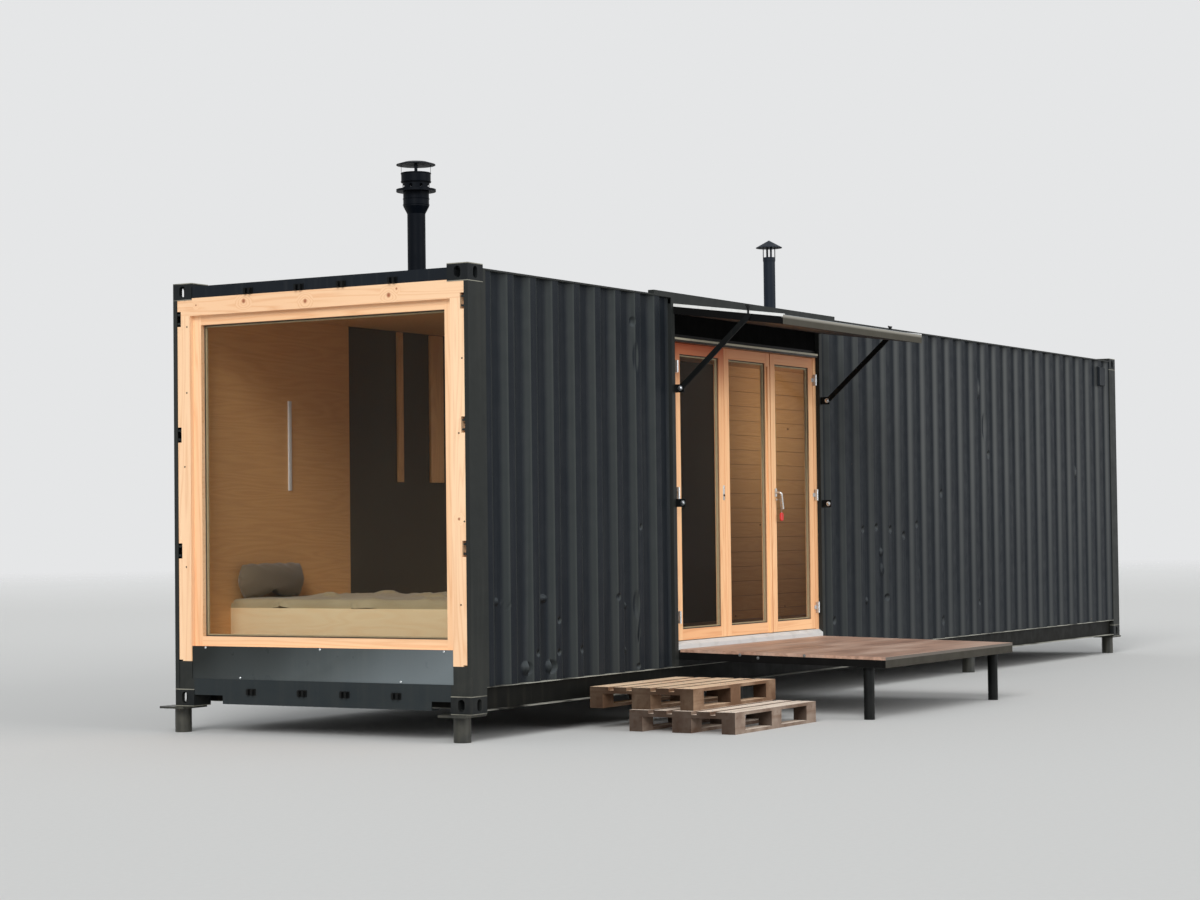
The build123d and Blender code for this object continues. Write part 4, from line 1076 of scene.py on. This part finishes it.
class CABIN_OT_entrance(bpy.types.Operator):
    """Finishes the entrance: timber leaves, panes, sill, hinges and lock"""
    bl_idname = "cabin.entrance"
    bl_label = "Entrance"

    def execute(self, context):
        dress(leaf_pine, "folding_leaves")
        dress(entrance_pine, "entrance_leaf")
        dress(door_frame_pine, "door_frame")
        dress(black_board, "lintel_panel")
        dress(sill_sheet, "door_sill")
        dress(bright_zinc, "folding_hinges", "frame_hinges", "leaf_hinges")
        dress(pale_flashing, "drip_strip")
        dress(satin_steel, "entrance_handle")
        low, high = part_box("folding_leaf_glass")
        first_end, second_start = (at(x).x for x in FOLDING_PANE_ENDS)
        for name, start, stop in (("left_pane", low.x, first_end), ("middle_pane", second_start, high.x)):
            pane = sealed_pane(name, (start, low.y, low.z), (stop, high.y, high.z), 1, BODY)
            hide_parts("folding_leaf_glass")
        entrance = sealed_pane("entrance_pane", *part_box("entrance_leaf_glass"), 1, DOOR)
        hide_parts("entrance_leaf_glass")
        self.lock()
        return {"FINISHED"}

    def lock(self):
        """Lock plate and barrels, the key and its red tag."""
        half, tall, thick, barrel_radius = 0.013, 0.055, 0.003, 0.0085
        handle_plate, reach = 0.008, 0.034
        key_half, key_thick, chain_radius, links = 0.011, 0.0012, 0.0017, 24
        tag_half, tag_tall, tag_thick = 0.025, 0.066, 0.009
        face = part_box("entrance_leaf")[0].y
        front = face - handle_plate
        spot, hub, tag_top = (at(x, 0, z) for x, z in (LOCK_PLATE, HANDLE_HUB, KEY_TAG))
        key_z = hub.z - tall
        plate = start_block("leaf_lock_plate", (spot.x - half, face - thick, spot.z - tall),
                            (spot.x + half, face - CLEAR, spot.z + tall))
        give(round_edges(plate, 0.0012), satin_steel, "galvanised_steel", BODY)
        for name, place, height, finish, slot, body in (
                ("leaf_lock_plate_barrel", (spot.x, face - thick, spot.z - 0.02), 0.004,
                 strut_enamel, "dark_steel", BODY),
                ("lock_barrel", (hub.x, front + 0.001, key_z), 0.006, bright_zinc, "galvanised_steel", DOOR)):
            barrel = start_disc(name, barrel_radius, height, 20)
            barrel.data.transform(facing(place, (0, -1, 0)))
            give(round_edges(barrel, 0.0008), finish, slot, body)
        key = start_block("key", (hub.x - key_half, front - reach, key_z - key_thick),
                          (hub.x + key_half, front - 0.0045, key_z + key_thick))
        round_edges(key, 0.008, 5, lambda middle, along: abs(along.z) > 0.002 and middle.y < front - 0.03)
        give(key, bright_zinc, "galvanised_steel", DOOR)
        # A ball chain hangs from the key to the tag
        start = Vector((hub.x + 0.006, front - 0.03, key_z - 0.002))
        stop = Vector((tag_top.x, front - 0.03, tag_top.z))
        ball = round_edges(start_disc("ball", chain_radius, 2 * chain_radius, 10), 0.0009)
        places = [Matrix.Translation(start.lerp(stop, number / links)) for number in range(links + 1)]
        give(copies(ball, "key_chain", places), bright_zinc, "galvanised_steel", DOOR, 60)
        tag = start_block("key_tag", (tag_top.x - tag_half, front - reach, tag_top.z - tag_tall),
                          (tag_top.x + tag_half, front - reach + tag_thick, tag_top.z))
        round_edges(tag, 0.0225, 8, lambda middle, along: abs(along.y) > 0.003)
        inset_faces(tag, lambda centre, normal: abs(normal.y) > 0.9, (0.003, 0.0016), (0.004, -0.0016))
        give(tag, red_plastic, "black_panel", DOOR)


class CABIN_OT_canopy(bpy.types.Operator):
    """Finishes the canopy, its struts and brackets, with the pale edge strips and the bolts"""
    bl_idname = "cabin.canopy"
    bl_label = "Canopy"

    def execute(self, context):
        dress(canopy_enamel, "canopy_frame")
        dress(dip_zinc, "canopy_top_sheet")
        dress(film_board, "canopy_soffit")
        dress(strut_enamel, "canopy_struts", "strut_brackets")
        self.edge_strips()
        self.bolts(context.scene.cabin_sizes.bolt)
        self.wing_nuts()
        return {"FINISHED"}

    def edge_strips(self):
        """Folded strips along the two sloped sides of the canopy."""
        low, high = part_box("canopy_top_sheet")
        fall = (high.z - low.z) - CANOPY_SKIN * MM
        lip, plate, sheet, width = 0.015, 0.006, 0.0015, 0.03
        strips = []
        for side, x in ((-1, low.x), (1, high.x)):
            for reach, foot in ((side * sheet, -lip), (-side * width, CLEAR)):
                first, last = sorted((x, x + reach))
                strips.append(start_block("strip", (first, low.y, high.z + foot), (last, high.y, high.z + plate)))
        piece = join(strips, "canopy_edge_strips")
        shift(piece, lambda place, normal: place.y < (low.y + high.y) / 2, (0, 0, -fall))
        give(piece, edge_coat, "galvanised_steel")

    def bolts(self, half):
        """Bolts on both faces of the brackets' plates and on the struts' ends."""
        low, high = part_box("strut_brackets")
        strut_end = 0.0142
        places = []
        for x, way in ((low.x, -1), (high.x, 1), (high.x - BRACKET_PLATE * MM, -1)):
            for height in (STRUT_BOLT_HEIGHT, LATCH_BOLT_HEIGHT):
                over_strut = height == STRUT_BOLT_HEIGHT and x in (low.x, high.x)
                spot = (x + way * (strut_end if over_strut else 0.0), at(y=BOLT_LINE).y, at(z=height).z)
                places.append(facing(spot, (way, 0, 0)))
        give(copies(hex_bolt(half), "bracket_bolts", places), bright_zinc, "galvanised_steel")

    def wing_nuts(self):
        """Wing nuts on the struts' upper bolts."""
        wings = []
        low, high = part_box("canopy_struts")
        inward, boss_drop, ear_drop, ear_rise = 0.007, 0.03, 0.026, 0.016
        for x in (low.x + inward, high.x - inward):
            top = Vector((x, at(y=WING_NUT_LINE).y, high.z))
            boss = start_disc("boss", 0.0125, 0.016, 16)
            boss.data.transform(Matrix.Translation(top - Vector((0, 0, boss_drop))))
            wings.append(boss)
            for degrees in (180, 0):
                ear = start_block("ear", (0.006, -0.003, 0.0), (0.036, 0.003, 0.013))
                shift(ear, lambda place, normal: place.x > 0.03, (0, 0, ear_rise))
                round_edges(ear, 0.0015, 2)
                turn = Matrix.Rotation(math.radians(degrees), 4, "Z")
                ear.data.transform(Matrix.Translation(top - Vector((0, 0, ear_drop))) @ turn)
                wings.append(ear)
        give(join(wings, "strut_wing_nuts"), strut_enamel, "dark_steel")


class CABIN_OT_deck(bpy.types.Operator):
    """Finishes the deck: film-faced board, steel frame, legs and bolts"""
    bl_idname = "cabin.deck"
    bl_label = "Deck"

    def execute(self, context):
        dress(film_board, "deck_panel")
        dress(frame_enamel, "deck_frame")
        dress(strut_enamel, "deck_legs")
        bolt = hex_bolt(context.scene.cabin_sizes.bolt * 0.6)
        heads = copies(bolt, "deck_bolts", on_end(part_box("deck_frame")[0].x, DECK_BOLTS))
        give(heads, dull_zinc, "galvanised_steel")
        return {"FINISHED"}


class CABIN_OT_pallets(bpy.types.Operator):
    """Finishes the pallet steps and drives in their nails"""
    bl_idname = "cabin.pallets"
    bl_label = "Pallet steps"

    def execute(self, context):
        for node, maker in (("upper_pallet", upper_boards), ("lower_pallet", lower_boards)):
            dress(maker, node)
            low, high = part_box(node)
            draw = random.Random(7)
            places = []
            for y in (low.y + MM * place for place in PALLET_BOARDS):
                for x in (low.x + MM * place for place in PALLET_BLOCKS):
                    for way_x, way_y in ((-1, -1), (1, 1), (-1, 1)):
                        spot = Vector((x + way_x * 0.04 + draw.uniform(-0.01, 0.01),
                                       y + way_y * 0.025 + draw.uniform(-0.008, 0.008), high.z - 0.0004))
                        places.append(Matrix.Translation(spot))
            nail = inset_faces(start_disc("nail", 0.0045, 0.0012, 10), upward, (0.001, 0.0003))
            give(copies(nail, node + "_nails", places), dip_zinc, "galvanised_steel")
        return {"FINISHED"}


class CABIN_OT_roof(bpy.types.Operator):
    """Finishes the flue and the vent pipe, with their seams and flashing screws"""
    bl_idname = "cabin.roof"
    bl_label = "Roof pipes"

    def execute(self, context):
        dress(stove_paint, "flue_pipe", "flue_cowl")
        dress(vent_paint, "vent_pipe", "vent_cap")
        self.beads()
        self.flashing_screws(context.scene.cabin_sizes.screw)
        return {"FINISHED"}

    def beads(self):
        """Rolled beads round the cowl's body and drum."""
        low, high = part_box("flue_cowl")
        middle = (low + high) / 2
        rings, bead = [], 0.004
        for radius, height in ((0.097, 0.068), (0.097, 0.113), (0.111, 0.242), (0.111, 0.304)):
            deselect()
            bpy.ops.mesh.primitive_torus_add(major_radius=radius, minor_radius=bead, major_segments=64,
                                             minor_segments=10, location=(middle.x, middle.y, low.z + height))
            rings.append(settle("bead"))
        give(join(rings, "cowl_beads"), stove_paint, "flue_paint", angle=60)

    def flashing_screws(self, radius):
        """Eight screws round the flashing of each pipe."""
        places, count, around, lift = [], 8, 0.148, 0.0055
        for node in ("flue_pipe", "vent_pipe"):
            low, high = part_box(node)
            middle = (low + high) / 2
            for number in range(count):
                turn = math.radians((number + 0.5) * 360 / count)
                spot = (middle.x + around * math.cos(turn), middle.y + around * math.sin(turn), low.z + lift)
                places.append(Matrix.Translation(spot))
        give(copies(hex_bolt(radius * 0.8), "flashing_screws", places), bright_zinc, "galvanised_steel")


class CABIN_OT_room(bpy.types.Operator):
    """Finishes the room: linings, ceiling, floor and bed"""
    bl_idname = "cabin.room"
    bl_label = "Room"

    def execute(self, context):
        dress(wall_plywood, "front_wall_linings", "blind_end_lining", "ceiling")
        dress(wall_boards, "back_wall_lining")
        dress(floor_wood, "insulated_floor", "floor_boards")
        dress(bed_plywood, "bed_platform")
        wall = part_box("back_wall_lining")[0].y
        for name, finish, timbers in (("back_wall_timbers", wall_plywood, WALL_TIMBERS),
                                      ("back_wall_strip", edge_coat, (WALL_STRIP,))):
            boards = []
            for first, last, foot, top, thick in timbers:
                low, high = at(first, 0, foot), at(last, 0, top)
                board = start_block("timber", (low.x, wall - thick * MM, low.z), (high.x, wall - CLEAR, high.z))
                boards.append(round_edges(board, 0.002))
            give(join(boards, name), finish, "lining_board")
        return {"FINISHED"}


def cloth(piece, frames, mass, stiffness, bending, pressure=None, gravity=1.0, shrink=0.0):
    """Runs a cloth simulation on a piece and applies it."""
    scene = bpy.context.scene
    choose(piece)
    bpy.ops.object.modifier_add(type="CLOTH")
    modifier = piece.modifiers[-1]
    settings = modifier.settings
    settings.quality = 6
    settings.mass = mass
    settings.tension_stiffness = settings.compression_stiffness = stiffness
    settings.shear_stiffness = stiffness / 2
    settings.bending_stiffness = bending
    settings.shrink_min = shrink
    settings.effector_weights.gravity = gravity
    if pressure is not None:
        settings.use_pressure = True
        settings.uniform_pressure_force = pressure
    modifier.collision_settings.use_self_collision = False
    modifier.collision_settings.distance_min = CLOTH_GAP
    for number in range(1, frames + 1):
        scene.frame_set(number)
    bpy.ops.object.modifier_apply(modifier=modifier.name)
    scene.frame_set(1)


class CABIN_OT_bedding(bpy.types.Operator):
    """Makes the mattress, its rumpled cover and the pillow"""
    bl_idname = "cabin.bedding"
    bl_label = "Bedding"

    def execute(self, context):
        self.cover(self.mattress(), context.scene.cabin_sizes.crease)
        self.pillow()
        return {"FINISHED"}

    def mattress(self):
        """A foam mattress: a block with rounded edges, a little crowned."""
        low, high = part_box("mattress")
        slack, crown = 0.004, 0.012
        pad = start_block("mattress_pad", low + Vector((slack, slack, 0.0005)),
                          high - Vector((slack, slack, crown + MATTRESS_SINK)))
        round_edges(pad, 0.022, 3)
        edit(pad)
        bpy.ops.mesh.subdivide(number_cuts=6)
        close_edit()
        middle, half = (low + high - Vector((0, 0, MATTRESS_SINK))) / 2, (high - low) / 2
        for vertex in pad.data.vertices:
            if vertex.co.z > middle.z:
                across = 1 - ((vertex.co.x - middle.x) / half.x) ** 2
                length = 1 - ((vertex.co.y - middle.y) / half.y) ** 4
                vertex.co.z += crown * 0.6 * max(0.0, across * length)
        give(pad, bed_linen, "bedding", angle=60)
        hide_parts("mattress")
        return pad

    def cover(self, mattress, crease):
        """A linen cover laid over the mattress; it settles in folds."""
        low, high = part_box("mattress")
        flat, laid, drop = (1.50, 2.38), (1.385, 2.20), 0.012
        middle = (low + high) / 2
        deselect()
        bpy.ops.mesh.primitive_grid_add(x_subdivisions=84, y_subdivisions=128, size=1,
                                        location=(middle.x, middle.y, high.z - MATTRESS_SINK + drop))
        bpy.context.object.scale = (laid[0], laid[1], 1)
        sheet = settle("bed_cover")
        draw = random.Random(3)
        waves = [(draw.uniform(0, 6.28), draw.uniform(9, 26), draw.uniform(0, 6.28)) for _ in range(9)]
        for vertex in sheet.data.vertices:
            lift = 0.0
            for heading, fineness, start in waves:
                along = vertex.co.x * math.cos(heading) + vertex.co.y * math.sin(heading)
                lift += math.sin(along * fineness + start)
            vertex.co.z += crease * (0.5 + lift / len(waves))
        choose(mattress)
        bpy.ops.object.modifier_add(type="COLLISION")
        mattress.collision.thickness_outer = CLOTH_GAP
        cloth(sheet, 13, mass=0.3, stiffness=12.0, bending=1.5, shrink=-0.05)
        mattress.modifiers.remove(mattress.modifiers["Collision"])
        choose(sheet)
        bpy.ops.object.modifier_add(type="SOLIDIFY")
        sheet.modifiers[-1].thickness = 0.003
        sheet.modifiers[-1].offset = 1.0
        bpy.ops.object.modifier_apply(modifier=sheet.modifiers[-1].name)
        give(sheet, bed_linen, "bedding", angle=80)

    def pillow(self):
        """A pillow stood against the lining: blown up from a flat case, with a sewn edge."""
        low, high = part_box("pillow")
        wider, lower, thinner, seam = 0.075, 0.036, 0.045, 0.008
        low -= Vector((wider, 0.0, MATTRESS_SINK))
        high.z -= lower
        case = start_block("pillow_case", low + Vector((0.0, thinner, 0.0)), high - Vector((0.0, thinner, seam)))
        edit(case)
        bpy.ops.mesh.subdivide(number_cuts=22)
        close_edit()
        middle, half = (low + high) / 2, (high - low) / 2
        for vertex in case.data.vertices:
            wide, tall = (vertex.co.x - middle.x) / half.x, (vertex.co.z - middle.z) / half.z
            vertex.co.x = middle.x + half.x * wide * (1 - tall * tall / 2.8) ** 0.5
            vertex.co.z = middle.z + half.z * tall * (1 - wide * wide / 2.8) ** 0.5
            across = 1 - ((vertex.co.x - middle.x) / half.x) ** 2
            up = 1 - ((vertex.co.z - middle.z) / half.z) ** 2
            vertex.co.y = middle.y + (vertex.co.y - middle.y) * (0.25 + 0.75 * max(0.0, across * up) ** 0.5)
        cloth(case, 20, mass=0.3, stiffness=14.0, bending=0.2, pressure=7.0, gravity=0.0, shrink=0.01)
        # The case fills the width and height that the pillow has
        for axis in (0, 2):
            places = [vertex.co[axis] for vertex in case.data.vertices]
            first, last = min(places), max(places)
            for vertex in case.data.vertices:
                vertex.co[axis] = low[axis] + (vertex.co[axis] - first) / (last - first) * (high[axis] - low[axis])
        for vertex in case.data.vertices:
            vertex.co.y = min(max(vertex.co.y, low.y - 0.004), high.y - 0.001)
        give(case, pillow_linen, "bedding", angle=80)
        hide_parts("pillow")


class CABIN_OT_stage(bpy.types.Operator):
    """Makes the floor, the background, the lamps and the camera"""
    bl_idname = "cabin.stage"
    bl_label = "Stage"

    def execute(self, context):
        scene = context.scene
        deselect()
        bpy.ops.mesh.primitive_circle_add(vertices=96, radius=80, fill_type="NGON", location=(0, 0, -0.0005))
        floor = settle("studio_floor")
        floor.data.materials.append(finish_of(studio_floor))
        self.world(scene)
        for name, energy, width, source in (("soft_key", 2.1, 30, (-1.0, -0.36, 0.62)),
                                            ("soft_front", 1.15, 40, (0.12, -1.0, 0.3))):
            self.lamp(scene, name, "SUN", energy, source).data.angle = math.radians(width)
        lamp = self.lamp(scene, "room_daylight", "AREA", 8.0, (0.0, -1.0, 0.45))
        lamp.data.size = 1.0
        lamp.location = at(8800, 1150, 2200)
        lamp.visible_camera = lamp.visible_glossy = lamp.visible_transmission = False
        self.camera(scene)
        scene.view_settings.view_transform = "Standard"
        return {"FINISHED"}

    def lamp(self, scene, name, kind, energy, source):
        """A lamp that shines from a direction."""
        light = bpy.data.lights.new(name, kind)
        light.energy = energy
        lamp = bpy.data.objects.new(name, light)
        scene.collection.objects.link(lamp)
        lamp.rotation_euler = Vector(source).to_track_quat("Z", "Y").to_euler()
        return lamp

    def world(self, scene):
        """An even pale sky; the camera, glossy and transmission rays see a plain pale background."""
        world = bpy.data.worlds.new("studio")
        scene.world = world
        world.use_nodes = True
        tree = world.node_tree
        light = tree.nodes["Background"]
        light.inputs["Color"].default_value = linear("#f1f4f7")
        light.inputs["Strength"].default_value = 0.5
        plain = add(tree, "Background", {"Color": linear("#f0f1f2"), "Strength": 0.9})
        rays = add(tree, "LightPath").node.outputs
        seen = add(tree, "Math", (rays["Is Camera Ray"], rays["Is Glossy Ray"]), operation="MAXIMUM")
        seen = add(tree, "Math", (seen, rays["Is Transmission Ray"]), operation="MAXIMUM")
        mixed = add(tree, "MixShader", (seen, light.outputs[0], plain))
        plug(tree, tree.nodes["World Output"].inputs["Surface"], mixed)

    def camera(self, scene):
        """The camera that took the photograph's view."""
        data = bpy.data.cameras.new("photo_camera")
        data.lens, data.sensor_width = LENS, SENSOR
        data.clip_end = 400
        camera = bpy.data.objects.new("photo_camera", data)
        scene.collection.objects.link(camera)
        right, up, back = Vector(CAMERA_RIGHT), -Vector(CAMERA_DOWN), -Vector(CAMERA_FORWARD)
        turn = Matrix((right, up, back)).transposed().to_4x4()
        camera.matrix_world = Matrix.Translation(Vector(EYE)) @ turn
        scene.camera = camera


class CABIN_PT_panel(bpy.types.Panel):
    """Lists the cabin's operators"""
    bl_label = "Container cabin"
    bl_idname = "CABIN_PT_panel"
    bl_space_type = "VIEW_3D"
    bl_region_type = "UI"
    bl_category = "Cabin"

    def draw(self, context):
        for operator in OPERATORS:
            self.layout.operator(operator.bl_idname)
        for group, rows in ((context.scene.cabin_colours, COLOURS), (context.scene.cabin_sizes, SIZES)):
            for name in rows:
                self.layout.prop(group, name)


OPERATORS = (CABIN_OT_shell, CABIN_OT_window, CABIN_OT_entrance, CABIN_OT_canopy, CABIN_OT_deck,
             CABIN_OT_pallets, CABIN_OT_roof, CABIN_OT_room, CABIN_OT_bedding, CABIN_OT_stage)
CLASSES = (CabinColours, CabinSizes) + OPERATORS + (CABIN_PT_panel,)


def register():
    for one in CLASSES:
        bpy.utils.register_class(one)
    bpy.types.Scene.cabin_colours = bpy.props.PointerProperty(type=CabinColours)
    bpy.types.Scene.cabin_sizes = bpy.props.PointerProperty(type=CabinSizes)


def unregister():
    del bpy.types.Scene.cabin_colours
    del bpy.types.Scene.cabin_sizes
    for one in reversed(CLASSES):
        bpy.utils.unregister_class(one)


def main():
    """Builds everything in order."""
    register()
    bpy.ops.cabin.shell()
    bpy.ops.cabin.window()
    bpy.ops.cabin.entrance()
    bpy.ops.cabin.canopy()
    bpy.ops.cabin.deck()
    bpy.ops.cabin.pallets()
    bpy.ops.cabin.roof()
    bpy.ops.cabin.room()
    bpy.ops.cabin.bedding()
    bpy.ops.cabin.stage()


if __name__ == "__main__":
    main()
